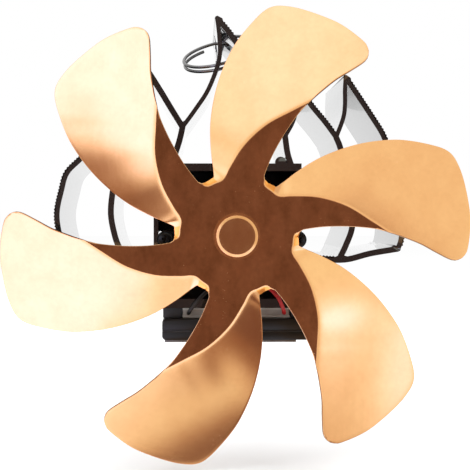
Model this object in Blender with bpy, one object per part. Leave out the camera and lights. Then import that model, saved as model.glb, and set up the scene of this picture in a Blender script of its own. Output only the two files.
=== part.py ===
"""Heat-powered stove fan: flame-shaped heat sink, thermoelectric module, motor and six-bladed rotor.

Metres, +Z up, the fan faces -Y. The origin lies in the middle of the base block's underside.
The heat sink is an extrusion along Y; the motor and the rotor sit a little left of its middle.
"""

import math

import bmesh
import bpy
from mathutils import Matrix, Vector
from mathutils.geometry import delaunay_2d_cdt

# Fits and overruns
FIT = 0.0003
LAYER_FIT = 0.0001
SHAFT_FIT = 0.0001
OVERRUN = 0.002
WELD = 0.000001

# Base block, module and heat sink, from the bottom up
SINK_DEPTH = 0.060
BASE_WIDTH = 0.0550
BASE_THICKNESS = 0.0078
BASE_CORNER = 0.0014
GROOVE_HEIGHT = 0.0035
GROOVE_SIZE = 0.0007
BASE_SIDE_BAND = 0.0075
MODULE_SETBACK = 0.0050
CERAMIC_THICKNESS = 0.0008
MODULE_CORE_THICKNESS = 0.0020
MODULE_CORE_INSET = 0.0009
FLOOR_THICKNESS = 0.0034
AXIS_ABOVE_FLOOR = 0.0235
AXIS_X = -0.0008
ROOF_ABOVE_AXIS = 0.0237
ROOF_THICKNESS = 0.0028
WALL_THICKNESS = 0.0017
BOX_LEFT = 0.0306
BOX_RIGHT = 0.0240

# Flame outline: overall rise over the axis and half width, then the fins
FLAME_RISE = 0.0807
FLAME_HALF_WIDTH = 0.0660
THIN_FIN = 0.0016
FIN = 0.0019
THICK_FIN = 0.0022
TOOTH_PITCH = 0.0024
TOOTH_HEIGHT = 0.0005

# Screw bosses of the motor plate
BOSS_RADIUS = 0.0033
BOSS_DROP = 0.0016
BOSS_OVERLAP = 0.0006
BOSS_BORE = 0.0013
PORT_RADIUS = 0.0021
PORT_RISE = 0.0004
PLATE_SCREW_LENGTH = 0.0080
PLATE_SCREW_HEAD_RADIUS = 0.0031
PLATE_SCREW_HEAD_HEIGHT = 0.0021

# Insulating spacers and clamp screws beside the module
SPACER_EDGE_MARGIN = 0.0002
SPACER_GAP = 0.0004
CLAMP_SCREW_RADIUS = 0.0015
CLAMP_HEAD_RADIUS = 0.0028
CLAMP_HEAD_HEIGHT = 0.0024
CLAMP_HEAD_DEPTH = 0.0030
CLAMP_BITE = 0.0024

# Overheat strip under the base
STRIP_LEFT_MARGIN = 0.0009
STRIP_RIGHT_MARGIN = 0.0052
STRIP_WIDTH = 0.0120
STRIP_THICKNESS = 0.0010
STRIP_FRONT_MARGIN = 0.0030
RIVET_RADIUS = 0.0015
RIVET_INSET = 0.0026
RIVET_DEPTH = 0.0040

# Motor
MOTOR_RADIUS = 0.0160
MOTOR_LENGTH = 0.0220
CAN_WALL = 0.0008
CAN_FRONT = 0.0010
END_CAP_THICKNESS = 0.0025
BUSH_RADIUS = 0.0031
BUSH_LENGTH = 0.0040
BUSH_PROUD = 0.0019
SHAFT_RADIUS = 0.0010
MAGNET_THICKNESS = 0.0024
MAGNET_LENGTH = 0.0150
MAGNET_HALF_ANGLE = math.radians(68)
ARMATURE_RADIUS = 0.0115
ARMATURE_LENGTH = 0.0090
ARMATURE_SETBACK = 0.0040
POLE_NECK = 0.0036
POLE_HEAD = 0.0016
POLE_HALF_ANGLE = math.radians(48)
POLE_ROOT_RADIUS = 0.0030
WINDING_BULGE = 0.0016
COMMUTATOR_RADIUS = 0.0030
COMMUTATOR_LENGTH = 0.0028
BRUSH_THICKNESS = 0.0006
BRUSH_WIDTH = 0.0024
BRUSH_REACH = 0.0110
TERMINAL_WIDTH = 0.0028
TERMINAL_THICKNESS = 0.0006
TERMINAL_LENGTH = 0.0070
TERMINAL_X = 0.0055
TERMINAL_DROP = 0.0100

# Motor plate
PLATE_THICKNESS = 0.0015
PLATE_DISC_RADIUS = 0.0150
PARTITION_THICKNESS = 0.0012
PARTITION_BACK_Y = -0.0008
PARTITION_PLAY = 0.0005
MOTOR_SCREW_OFFSET = 0.0080
MOTOR_SCREW_RADIUS = 0.0009
MOTOR_SCREW_HEAD_RADIUS = 0.0018
MOTOR_SCREW_HEAD_HEIGHT = 0.0013
MOTOR_SCREW_LENGTH = 0.0026

# Rotor
ROTOR_RADIUS = 0.0850
ROTOR_AHEAD = 0.0240
SHEET_THICKNESS = 0.0010
BLADE_COUNT = 6
BLADE_TILT = math.radians(24)
CREASE_SOFTNESS = 0.0006
SPIGOT_RADIUS = 0.0030
SPIGOT_LENGTH = 0.0026
HUB_FLANGE_RADIUS = 0.0080
HUB_FLANGE_THICKNESS = 0.0015
HUB_COLLAR_RADIUS = 0.0045
HUB_COLLAR_LENGTH = 0.0085
HUB_SEAT_DEPTH = 0.0020
CAP_RADIUS = 0.0072
CAP_BASE_RADIUS = 0.0082
CAP_HEIGHT = 0.0048
CAP_WALL = 0.0011
CAP_ROUNDING = 0.0009

# Split ring through the tip of the flame
RING_RADIUS = 0.0140
RING_WIRE_RADIUS = 0.0006
RING_PITCH = 0.0018
RING_TURNS = 1.9
RING_TILT = math.radians(25.8)
RING_ROLL = math.radians(15)
RING_SWING = math.radians(6)
RING_CENTRE_SHARE = (-0.08939, 0.85502)
RING_SETBACK = 0.0170
RING_SLOT_CORNER = 0.0010

# Leads
WIRE_RADIUS = 0.0007
LEAD_INSET = 0.0023

# Smoothness of round parts and curves
FINE_SIDES = 36
SMALL_SIDES = 20
RING_SIDES = 28
CURVE_STEPS = 5
BLADE_EDGE_STEPS = 2
SHEET_GRID = 0.0060
SHARP_ANGLE = math.radians(35)

# Derived places
MODULE_SIDE = BASE_WIDTH - 2 * BASE_SIDE_BAND
SPACER_OUTER_X = BASE_WIDTH / 2 - SPACER_EDGE_MARGIN
STRIP_LEFT_X = BASE_WIDTH / 2 - STRIP_LEFT_MARGIN
STRIP_RIGHT_X = BASE_WIDTH / 2 - STRIP_RIGHT_MARGIN
MODULE_GAP = 2 * CERAMIC_THICKNESS + MODULE_CORE_THICKNESS + 4 * LAYER_FIT
SINK_FLOOR_Z = BASE_THICKNESS + MODULE_GAP
BOX_FLOOR_Z = SINK_FLOOR_Z + FLOOR_THICKNESS
AXIS_Z = BOX_FLOOR_Z + AXIS_ABOVE_FLOOR
SINK_FRONT_Y = -SINK_DEPTH / 2
SINK_BACK_Y = SINK_DEPTH / 2
BOSS_LEFT_X = -(BOX_LEFT - WALL_THICKNESS - BOSS_RADIUS + BOSS_OVERLAP)
BOSS_RIGHT_X = BOX_RIGHT - WALL_THICKNESS / 2 - BOSS_OVERLAP
BOSS_Z = AXIS_Z - BOSS_DROP
MODULE_FRONT_Y = SINK_FRONT_Y + MODULE_SETBACK
MODULE_CENTRE_Y = MODULE_FRONT_Y + MODULE_SIDE / 2
CORE_Z = BASE_THICKNESS + 2 * LAYER_FIT + CERAMIC_THICKNESS
SPACER_INNER_X = MODULE_SIDE / 2 + SPACER_GAP
CLAMP_X = (SPACER_INNER_X + SPACER_OUTER_X) / 2
STRIP_FRONT_Y = SINK_FRONT_Y + STRIP_FRONT_MARGIN
STRIP_TOP_Z = -LAYER_FIT
RIVET_X = -STRIP_LEFT_X + RIVET_INSET
RIVET_Y = STRIP_FRONT_Y + STRIP_WIDTH / 2
PLATE_BACK_Y = SINK_FRONT_Y - FIT
PLATE_FRONT_Y = PLATE_BACK_Y - PLATE_THICKNESS
CAN_FRONT_Y = SINK_FRONT_Y
CAN_BACK_Y = CAN_FRONT_Y + MOTOR_LENGTH
CAN_INNER_RADIUS = MOTOR_RADIUS - CAN_WALL
END_CAP_FRONT_Y = CAN_BACK_Y - END_CAP_THICKNESS
FRONT_BUSH_Y = CAN_FRONT_Y - BUSH_PROUD
REAR_BUSH_BACK_Y = CAN_BACK_Y + FIT
ARMATURE_FRONT_Y = CAN_FRONT_Y + ARMATURE_SETBACK
ARMATURE_BACK_Y = ARMATURE_FRONT_Y + ARMATURE_LENGTH
COMMUTATOR_FRONT_Y = ARMATURE_BACK_Y + WINDING_BULGE + FIT
COMMUTATOR_BACK_Y = COMMUTATOR_FRONT_Y + COMMUTATOR_LENGTH
TERMINAL_Z = AXIS_Z - TERMINAL_DROP
SHEET_FRONT_Y = SINK_FRONT_Y - ROTOR_AHEAD
SHEET_BACK_Y = SHEET_FRONT_Y + SHEET_THICKNESS
HUB_FACE_Y = SHEET_BACK_Y + FIT
SPIGOT_FRONT_Y = SHEET_FRONT_Y - (SPIGOT_LENGTH - SHEET_THICKNESS)
CAP_BACK_Y = SHEET_FRONT_Y - FIT
CAP_FRONT_Y = CAP_BACK_Y - CAP_HEIGHT
SHAFT_FRONT_Y = SPIGOT_FRONT_Y + HUB_SEAT_DEPTH / 2
SHAFT_BACK_Y = REAR_BUSH_BACK_Y
RING_CENTRE_X = RING_CENTRE_SHARE[0] * FLAME_HALF_WIDTH
RING_CENTRE_Y = SINK_FRONT_Y + RING_SETBACK
RING_CENTRE_Z = AXIS_Z + RING_CENTRE_SHARE[1] * FLAME_RISE
RING_COIL_HEIGHT = RING_PITCH + 2 * RING_WIRE_RADIUS
RING_SLOT_WIDTH = RING_COIL_HEIGHT + 2 * RING_RADIUS * math.sin(RING_SWING) + 2 * FIT
RING_SLOT_LENGTH = 2 * (RING_RADIUS + RING_WIRE_RADIUS + 2 * FIT)

# Fin centre lines, as shares of the flame's half width and of its rise over the axis
TIP_A_SHARE = (-0.108, 0.990)
TIP_B_SHARE = (0.299, 0.737)
TIP_C_SHARE = (0.610, 0.722)
TIP_D_SHARE = (-0.552, 0.812)
FORK_LEFT_SHARE = (-0.302, 0.494)
FORK_MIDDLE_SHARE = (0.271, 0.452)
FORK_RIGHT_SHARE = (0.557, 0.448)
CORNER_RIGHT_SHARE = (0.905, -0.062)
TONGUE_A_CURVE_SHARES = [
    TIP_A_SHARE, (-0.096, 0.900), (-0.098, 0.800), (-0.156, 0.669), (-0.229, 0.576), FORK_LEFT_SHARE,
]
TONGUE_A_LINE_SHARES = [TIP_A_SHARE, (-0.012, 0.891), (0.125, 0.700), (0.225, 0.540), FORK_MIDDLE_SHARE]
TONGUE_B_CURVE_SHARES = [TIP_B_SHARE, (0.330, 0.654), (0.334, 0.585), (0.315, 0.520), FORK_MIDDLE_SHARE]
TONGUE_B_LINE_SHARES = [TIP_B_SHARE, (0.407, 0.605), (0.495, 0.517), FORK_RIGHT_SHARE]
TONGUE_C_CURVE_SHARES = [TIP_C_SHARE, (0.606, 0.664), (0.606, 0.595), (0.596, 0.535), FORK_RIGHT_SHARE]
TONGUE_C_LINE_SHARES = [
    TIP_C_SHARE, (0.762, 0.535), (0.828, 0.443), (0.888, 0.296), (0.927, 0.136), (0.924, -0.005),
    CORNER_RIGHT_SHARE,
]
TONGUE_D_LINE_SHARES = [TIP_D_SHARE, (-0.485, 0.736), (-0.417, 0.648), (-0.370, 0.584), FORK_LEFT_SHARE]
TONGUE_D_CURVE_SHARES = [
    TIP_D_SHARE, (-0.552, 0.746), (-0.577, 0.664), (-0.644, 0.568), (-0.745, 0.471), (-0.862, 0.356),
    (-0.945, 0.287), (-0.976, 0.207), (-1.002, 0.102), (-0.988, 0.007), (-0.955, -0.056), (-0.868, -0.094),
    (-0.712, -0.105),
]
LEFT_INNER_SHARES = [
    (-0.646, 0.566), (-0.642, 0.446), (-0.665, 0.322), (-0.691, 0.204), (-0.702, 0.099), (-0.682, 0.005),
    (-0.656, -0.055), (-0.617, -0.106),
]
RIGHT_INNER_SHARES = [
    FORK_RIGHT_SHARE, (0.582, 0.395), (0.618, 0.274), (0.647, 0.136), (0.647, 0.035), (0.611, -0.048),
    (0.576, -0.108),
]
RIGHT_ARM_SHARES = [CORNER_RIGHT_SHARE, (0.747, -0.084), (0.607, -0.112), (0.450, -0.108)]
STEM_LEFT_SHARES = [FORK_LEFT_SHARE, (-0.322, 0.425)]
STEM_LEFT_ROOT_SHARE = -0.368
STEM_MIDDLE_SHARES = [FORK_MIDDLE_SHARE, (0.285, 0.374)]
STEM_MIDDLE_ROOT_SHARE = 0.309
PORT_SHARE = 0.2465
ARM_ROOT_SHARE = -0.108

# Blade edges and crease: share of the rotor radius, degrees clockwise from the blade's own line
TRAILING_EDGE_SHARES = [
    (0.2585, -32), (0.2565, -27.5), (0.2600, -23), (0.2690, -20.6), (0.366, -16.9), (0.468, -13.5),
    (0.572, -9.6), (0.677, -5.6), (0.782, -1.4), (0.853, 1.8), (0.924, 5.2), (0.967, 7.4), (0.990, 9.4),
    (0.999, 12),
]
TIP_EDGE_SHARES = [(1.000, 16), (0.994, 22), (0.987, 27)]
LEADING_EDGE_SHARES = [
    (0.966, 33), (0.949, 35), (0.927, 36), (0.893, 36.2), (0.826, 34.5), (0.760, 32.3), (0.660, 29.4),
    (0.560, 26.8), (0.461, 25.1), (0.362, 24.0), (0.282, 24.2), (0.2660, 25.6),
]
CREASE_SHARES = [
    (0.2286, -38), (0.2286, -30), (0.2286, -22), (0.2310, -14.5), (0.247, -9.5), (0.284, -3.8), (0.371, 6.2),
    (0.465, 16), (0.556, 24.8), (0.606, 28),
]
CREASE_RUN_OUT_SHARE = 0.55
NOTCH_FLOOR_SHARE = 0.272
WEB_START_DEGREES = -37
GAP_ROOT_DEGREES = -30
GAP_TIP_DEGREES = -9

# Lead routes: share of the way across to the module's side, back over the motor and up to the terminal
LEAD_BLACK_SHARES = [
    (1.0, 0.205, 0.0), (1.0, 0.068, 0.0), (0.926, -0.100, 0.095), (0.598, -0.164, 0.339),
    (0.238, -0.100, 0.519), (0.057, 0.136, 0.540), (0.0, 0.545, 0.497), (0.0, 0.932, 0.487),
    (0.0, 1.145, 0.566), (0.0, 1.191, 0.751), (0.0, 1.191, 0.926),
]
LEAD_RED_SHARES = [
    (1.0, 0.205, 0.0), (1.0, 0.068, 0.005), (0.943, -0.100, 0.116), (0.795, -0.155, 0.328),
    (0.549, -0.100, 0.497), (0.254, 0.136, 0.550), (0.057, 0.545, 0.497), (0.0, 0.932, 0.487),
    (0.0, 1.145, 0.566), (0.0, 1.191, 0.751), (0.0, 1.191, 0.926),
]


def clear_scene():
    """Remove every object, mesh, curve and material of the file that is open."""
    for item in list(bpy.data.objects):
        bpy.data.objects.remove(item, do_unlink=True)
    for group in (bpy.data.meshes, bpy.data.curves, bpy.data.materials):
        for item in list(group):
            group.remove(item)


def material(name, colour, metallic, roughness):
    """Return a Principled material of one colour."""
    made = bpy.data.materials.new(name)
    made.use_nodes = True
    shader = made.node_tree.nodes["Principled BSDF"]
    shader.inputs["Base Color"].default_value = (*colour, 1.0)
    shader.inputs["Metallic"].default_value = metallic
    shader.inputs["Roughness"].default_value = roughness
    made.diffuse_color = (*colour, 1.0)
    return made


def add_object(name, data, finish, parent=None):
    """Link an object with its material, shade it and hang it on its parent."""
    made = bpy.data.objects.new(name, data)
    bpy.context.scene.collection.objects.link(made)
    data.materials.append(finish)
    if parent is not None:
        made.parent = parent
        made.matrix_parent_inverse = parent.matrix_world.inverted()
    return made


def add_pivot(name, place, turn=None):
    """Return an empty on a joint axis."""
    pivot = bpy.data.objects.new(name, None)
    bpy.context.scene.collection.objects.link(pivot)
    pivot.matrix_world = Matrix.Translation(place) @ (turn or Matrix.Identity(4))
    bpy.context.view_layer.update()
    return pivot


def finish_mesh(name, form, finish, parent=None):
    """Turn a bmesh into an object with faces pointing out and shaded by angle."""
    form.normal_update()
    bmesh.ops.recalc_face_normals(form, faces=form.faces)
    data = bpy.data.meshes.new(name)
    form.to_mesh(data)
    form.free()
    data.shade_smooth()
    data.set_sharp_from_angle(angle=SHARP_ANGLE)
    return add_object(name, data, finish, parent)


def arc_points(centre, radius, start, end, steps):
    """Points on an arc in the X-Z plane, anticlockwise angles from +X."""
    points = []
    for step in range(steps + 1):
        angle = start + (end - start) * step / steps
        points.append(Vector((centre[0] + radius * math.cos(angle), centre[1] + radius * math.sin(angle))))
    return points


def disc_outline(centre, radius, sides=SMALL_SIDES):
    """A closed circle in the X-Z plane."""
    return arc_points(centre, radius, 0, 2 * math.pi * (sides - 1) / sides, sides - 1)


def smooth_path(points, steps):
    """A Catmull-Rom curve through the given points."""
    ends = [2 * points[0] - points[1]] + list(points) + [2 * points[-1] - points[-2]]
    path = []
    for index in range(1, len(ends) - 2):
        before, start, end, after = ends[index - 1:index + 3]
        for step in range(steps):
            t = step / steps
            path.append(
                start
                + (end - before) * (t / 2)
                + (2 * before - 5 * start + 4 * end - after) * (t * t / 2)
                + (3 * start - before - 3 * end + after) * (t * t * t / 2)
            )
    path.append(points[-1].copy())
    return path


def even_path(path, spacing):
    """The same path with points at an even spacing."""
    lengths = [0.0]
    for start, end in zip(path, path[1:]):
        lengths.append(lengths[-1] + (end - start).length)
    count = max(2, round(lengths[-1] / spacing))
    points = []
    index = 0
    for step in range(count + 1):
        target = lengths[-1] * step / count
        while index < len(path) - 2 and lengths[index + 1] < target:
            index += 1
        span = lengths[index + 1] - lengths[index]
        points.append(path[index].lerp(path[index + 1], (target - lengths[index]) / span))
    return points


def path_normals(path):
    """Unit normals to the left of each point of a path in the plane."""
    normals = []
    for index in range(len(path)):
        ahead = path[min(index + 1, len(path) - 1)]
        behind = path[max(index - 1, 0)]
        along = (ahead - behind).normalized()
        normals.append(Vector((-along.y, along.x)))
    return normals


def strip_outline(path, thickness, teeth=0):
    """Outline of a fin round at both ends; teeth is -1, 0 or 1 for the toothed side."""
    normals = path_normals(path)
    half = thickness / 2
    left, right = [], []
    for index, (point, normal) in enumerate(zip(path, normals)):
        tooth = TOOTH_HEIGHT if index % 2 and 0 < index < len(path) - 1 else 0
        left.append(point + normal * (half + (tooth if teeth > 0 else 0)))
        right.append(point - normal * (half + (tooth if teeth < 0 else 0)))
    along = (path[-1] - path[-2]).normalized()
    turn = math.atan2(along.y, along.x)
    end_cap = arc_points(path[-1], half, turn + math.pi / 2, turn - math.pi / 2, 4)[1:-1]
    along = (path[0] - path[1]).normalized()
    turn = math.atan2(along.y, along.x)
    start_cap = arc_points(path[0], half, turn + math.pi / 2, turn - math.pi / 2, 4)[1:-1]
    return left + end_cap + right[::-1] + start_cap


def inside(point, outline):
    """Whether a point of the plane lies inside a closed outline."""
    hit = False
    for start, end in zip(outline, outline[1:] + outline[:1]):
        if (start.y > point.y) != (end.y > point.y):
            crossing = start.x + (point.y - start.y) * (end.x - start.x) / (end.y - start.y)
            if point.x < crossing:
                hit = not hit
    return hit


def bounds(outline):
    """The least and largest corner of an outline."""
    xs = [point.x for point in outline]
    ys = [point.y for point in outline]
    return min(xs), min(ys), max(xs), max(ys)


def flat_union(outlines, holes=()):
    """Corner points and triangles of the union of outlines less the holes, in the plane."""
    points, loops = [], []
    for outline in list(outlines) + list(holes):
        first = len(points)
        points.extend(outline)
        loops.append(list(range(first, len(points))))
    edges = [(a, b) for loop in loops for a, b in zip(loop, loop[1:] + loop[:1])]
    corners, _, faces = delaunay_2d_cdt(points, edges, [], 1, WELD)[:3]
    boxes = [bounds(outline) for outline in outlines]
    kept = []
    for face in faces:
        middle = sum((corners[index] for index in face), Vector((0, 0))) / len(face)
        covered = any(
            box[0] <= middle.x <= box[2] and box[1] <= middle.y <= box[3] and inside(middle, outline)
            for box, outline in zip(boxes, outlines)
        )
        if covered and not any(inside(middle, hole) for hole in holes):
            kept.append(face)
    return corners, kept


def extrude_region(corners, faces, front, back):
    """A closed solid over flat triangles of the X-Z plane, from y = front to y = back."""
    form = bmesh.new()
    verts = {}
    for face in faces:
        for index in face:
            if index not in verts:
                verts[index] = form.verts.new((corners[index].x, front, corners[index].y))
        form.faces.new([verts[index] for index in face])
    bmesh.ops.dissolve_degenerate(form, dist=WELD, edges=form.edges[:])
    flat = bmesh.ops.extrude_face_region(form, geom=form.faces[:], use_keep_orig=True)["geom"]
    moved = [item for item in flat if isinstance(item, bmesh.types.BMVert)]
    bmesh.ops.translate(form, verts=moved, vec=(0, back - front, 0))
    return form


def extruded(name, outlines, front, back, finish, holes=(), parent=None):
    """An object made by extruding the union of outlines along Y."""
    corners, faces = flat_union(outlines, holes)
    return finish_mesh(name, extrude_region(corners, faces, front, back), finish, parent)


def turned(name, profile, centre, finish, parent=None, sides=FINE_SIDES, upright=False):
    """A body turned about an axis along Y, or along Z when upright.

    The profile is a chain of (radius, place along the axis) from one end to the other. It closes on
    itself when it starts and ends off the axis.
    """
    form = bmesh.new()
    verts = [form.verts.new((radius, 0, along)) for radius, along in profile]
    for start, end in zip(verts, verts[1:]):
        form.edges.new((start, end))
    if min(profile[0][0], profile[-1][0]) > 0:
        form.edges.new((verts[-1], verts[0]))
    bmesh.ops.spin(
        form, geom=form.verts[:] + form.edges[:], cent=(0, 0, 0), axis=(0, 0, 1), angle=2 * math.pi,
        steps=sides, use_merge=True, use_duplicate=False,
    )
    bmesh.ops.remove_doubles(form, verts=form.verts[:], dist=WELD)
    if not upright:
        form.transform(Matrix(((1, 0, 0, 0), (0, 0, 1, 0), (0, 1, 0, 0), (0, 0, 0, 1))))
    form.transform(Matrix.Translation(centre))
    return finish_mesh(name, form, finish, parent)


def box_form(low, high):
    """A box between two corners."""
    form = bmesh.new()
    bmesh.ops.create_cube(form, size=1)
    size = [b - a for a, b in zip(low, high)]
    middle = [(a + b) / 2 for a, b in zip(low, high)]
    form.transform(Matrix.Translation(middle) @ Matrix.Diagonal((*size, 1)))
    return form


def block(name, low, high, finish, parent=None):
    """A plain block between two corners."""
    return finish_mesh(name, box_form(low, high), finish, parent)


def cut(target, cutter_name, form):
    """Cut a form out of an object with a Boolean."""
    cutter = finish_mesh(cutter_name, form, target.data.materials[0], target.parent)
    cutter.hide_render = True
    cutter.display_type = "WIRE"
    change = target.modifiers.new(cutter_name, "BOOLEAN")
    change.operation = "DIFFERENCE"
    change.solver = "EXACT"
    change.object = cutter


def rod_form(centre, radius, length, along, sides=SMALL_SIDES):
    """A round bar centred on a place, along the X, Y or Z axis."""
    form = bmesh.new()
    bmesh.ops.create_cone(
        form, cap_ends=True, segments=sides, radius1=radius, radius2=radius, depth=length,
    )
    turn = {
        "X": Matrix.Rotation(math.pi / 2, 4, "Y"),
        "Y": Matrix.Rotation(math.pi / 2, 4, "X"),
        "Z": Matrix.Identity(4),
    }[along]
    form.transform(Matrix.Translation(centre) @ turn)
    return form


def flame(share):
    """Place in the heat sink's profile of a pair of shares, from the height of the motor axis."""
    return Vector((share[0] * FLAME_HALF_WIDTH, AXIS_Z + share[1] * FLAME_RISE))


def fin(shares, thickness, teeth=0, root=None):
    """Outline of a fin through its shares and, where it has one, on to its root on the box."""
    points = [flame(share) for share in shares]
    if root is not None:
        points.append(root)
    path = smooth_path(points, CURVE_STEPS)
    if teeth:
        path = even_path(path, TOOTH_PITCH / 2)
    return strip_outline(path, thickness, teeth)


def plate_outline(left, bottom, right, top):
    """A rectangle of the profile."""
    return [Vector((left, bottom)), Vector((right, bottom)), Vector((right, top)), Vector((left, top))]


def sink_outlines():
    """Every fin, wall and boss of the heat sink's profile."""
    roof_low = AXIS_Z + ROOF_ABOVE_AXIS
    roof_high = roof_low + ROOF_THICKNESS
    roof_middle = roof_low + ROOF_THICKNESS / 2
    arm_z = AXIS_Z + ARM_ROOT_SHARE * FLAME_RISE
    left_wall_x = -BOX_LEFT + WALL_THICKNESS / 2
    right_wall_x = BOX_RIGHT - WALL_THICKNESS / 2
    walls = [
        plate_outline(-BOX_LEFT, SINK_FLOOR_Z, max(BASE_WIDTH / 2, BOX_RIGHT), BOX_FLOOR_Z),
        plate_outline(-BOX_LEFT, roof_low, BOX_RIGHT, roof_high),
        plate_outline(-BOX_LEFT, SINK_FLOOR_Z, -BOX_LEFT + WALL_THICKNESS, roof_high),
        plate_outline(BOX_RIGHT - WALL_THICKNESS, SINK_FLOOR_Z, BOX_RIGHT, roof_high),
        disc_outline((BOSS_LEFT_X, BOSS_Z), BOSS_RADIUS),
        disc_outline((BOSS_RIGHT_X, BOSS_Z), BOSS_RADIUS),
        disc_outline((PORT_SHARE * FLAME_HALF_WIDTH, roof_high + PORT_RISE), PORT_RADIUS),
    ]
    stem_left_root = Vector((STEM_LEFT_ROOT_SHARE * FLAME_HALF_WIDTH, roof_middle))
    stem_middle_root = Vector((STEM_MIDDLE_ROOT_SHARE * FLAME_HALF_WIDTH, roof_middle))
    fins = [
        fin(TONGUE_A_CURVE_SHARES, THIN_FIN, -1),
        fin(TONGUE_A_LINE_SHARES, FIN, 1),
        fin(TONGUE_B_CURVE_SHARES, THIN_FIN),
        fin(TONGUE_B_LINE_SHARES, FIN, 1),
        fin(TONGUE_C_CURVE_SHARES, THIN_FIN),
        fin(TONGUE_C_LINE_SHARES, FIN, 1),
        fin(TONGUE_D_LINE_SHARES, THICK_FIN),
        fin(TONGUE_D_CURVE_SHARES, FIN, -1, Vector((left_wall_x, arm_z))),
        fin(LEFT_INNER_SHARES, THICK_FIN),
        fin(RIGHT_INNER_SHARES, THICK_FIN),
        fin(RIGHT_ARM_SHARES, THICK_FIN, -1, Vector((right_wall_x, arm_z))),
        fin(STEM_LEFT_SHARES, THICK_FIN, 0, stem_left_root),
        fin(STEM_MIDDLE_SHARES, THICK_FIN, 0, stem_middle_root),
    ]
    return walls + fins


def ring_frame():
    """The place and slant of the split ring in the tip of the flame."""
    turn = Matrix.Rotation(-RING_ROLL, 4, "Y") @ Matrix.Rotation(RING_TILT, 4, "X")
    return Matrix.Translation((RING_CENTRE_X, RING_CENTRE_Y, RING_CENTRE_Z)) @ turn


def ring_slot_form():
    """The slot through the flame's tip that the ring lies in, with room for its swing."""
    corner = RING_SLOT_CORNER
    far, high = RING_SLOT_LENGTH / 2 - corner, RING_SLOT_WIDTH / 2 - corner
    outline = []
    for quarter, place in enumerate(((far, high), (-far, high), (-far, -high), (far, -high))):
        start = math.pi / 2 * quarter
        outline += arc_points(place, corner, start, start + math.pi / 2, 3)
    corners, faces = flat_union([outline])
    reach = RING_RADIUS
    form = extrude_region(corners, faces, -reach, reach)
    form.transform(ring_frame() @ Matrix.Rotation(math.pi / 2, 4, "Z"))
    return form


def make_heat_sink(finish):
    """The flame-shaped extrusion with its box, screw holes and ring slot."""
    sink = extruded("heat_sink", sink_outlines(), SINK_FRONT_Y, SINK_BACK_Y, finish)
    hole_depth = PLATE_SCREW_LENGTH + OVERRUN
    for side, place in (("left", BOSS_LEFT_X), ("right", BOSS_RIGHT_X)):
        hole = rod_form(
            (place, SINK_FRONT_Y, BOSS_Z), BOSS_BORE + FIT, 2 * hole_depth, "Y",
        )
        cut(sink, f"boss_hole_{side}", hole)
    for side, place in (("left", -CLAMP_X), ("right", CLAMP_X)):
        hole = rod_form(
            (place, MODULE_CENTRE_Y, SINK_FLOOR_Z), CLAMP_SCREW_RADIUS + FIT, 2 * (CLAMP_BITE + FIT), "Z",
        )
        cut(sink, f"clamp_hole_{side}", hole)
    cut(sink, "ring_slot", ring_slot_form())
    return sink


def make_base(finish):
    """The block that stands on the stove, with its groove and screw holes."""
    half = BASE_WIDTH / 2
    corners = [
        ((half - BASE_CORNER, BASE_CORNER), -math.pi / 2),
        ((half - BASE_CORNER, BASE_THICKNESS - BASE_CORNER), 0),
        ((-half + BASE_CORNER, BASE_THICKNESS - BASE_CORNER), math.pi / 2),
        ((-half + BASE_CORNER, BASE_CORNER), math.pi),
    ]
    outline = []
    for centre, start in corners:
        outline += arc_points(centre, BASE_CORNER, start, start + math.pi / 2, 4)
    base = extruded("base_block", [outline], SINK_FRONT_Y, SINK_BACK_Y, finish)
    for side, sign in (("left", -1), ("right", 1)):
        place = sign * CLAMP_X
        shank = rod_form(
            (place, MODULE_CENTRE_Y, BASE_THICKNESS), CLAMP_SCREW_RADIUS + FIT, 2 * BASE_THICKNESS, "Z",
        )
        cut(base, f"shank_hole_{side}", shank)
        recess = rod_form(
            (place, MODULE_CENTRE_Y, 0), CLAMP_HEAD_RADIUS + FIT, 2 * CLAMP_HEAD_DEPTH, "Z",
        )
        cut(base, f"head_recess_{side}", recess)
    rivet_hole = rod_form((RIVET_X, RIVET_Y, 0), RIVET_RADIUS + FIT, 2 * (RIVET_DEPTH + FIT), "Z")
    cut(base, "rivet_hole", rivet_hole)
    groove = box_form(
        (-half - OVERRUN, SINK_FRONT_Y - OVERRUN, GROOVE_HEIGHT - GROOVE_SIZE / 2),
        (half + OVERRUN, SINK_FRONT_Y + GROOVE_SIZE, GROOVE_HEIGHT + GROOVE_SIZE / 2),
    )
    cut(base, "front_groove", groove)
    return base


def make_clamp_screws(finish):
    """The two long screws through base block and spacers into the heat sink's floor."""
    head_z = CLAMP_HEAD_DEPTH - FIT
    top_z = SINK_FLOOR_Z + CLAMP_BITE
    socket = CLAMP_HEAD_RADIUS / 2
    profile = [
        (0, head_z - CLAMP_HEAD_HEIGHT / 2), (socket, head_z - CLAMP_HEAD_HEIGHT / 2),
        (socket, head_z - CLAMP_HEAD_HEIGHT), (CLAMP_HEAD_RADIUS, head_z - CLAMP_HEAD_HEIGHT),
        (CLAMP_HEAD_RADIUS, head_z), (CLAMP_SCREW_RADIUS, head_z), (CLAMP_SCREW_RADIUS, top_z), (0, top_z),
    ]
    for side, sign in (("left", -1), ("right", 1)):
        turned(
            f"clamp_screw_{side}", profile, (sign * CLAMP_X, MODULE_CENTRE_Y, 0), finish,
            sides=SMALL_SIDES, upright=True,
        )


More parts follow.
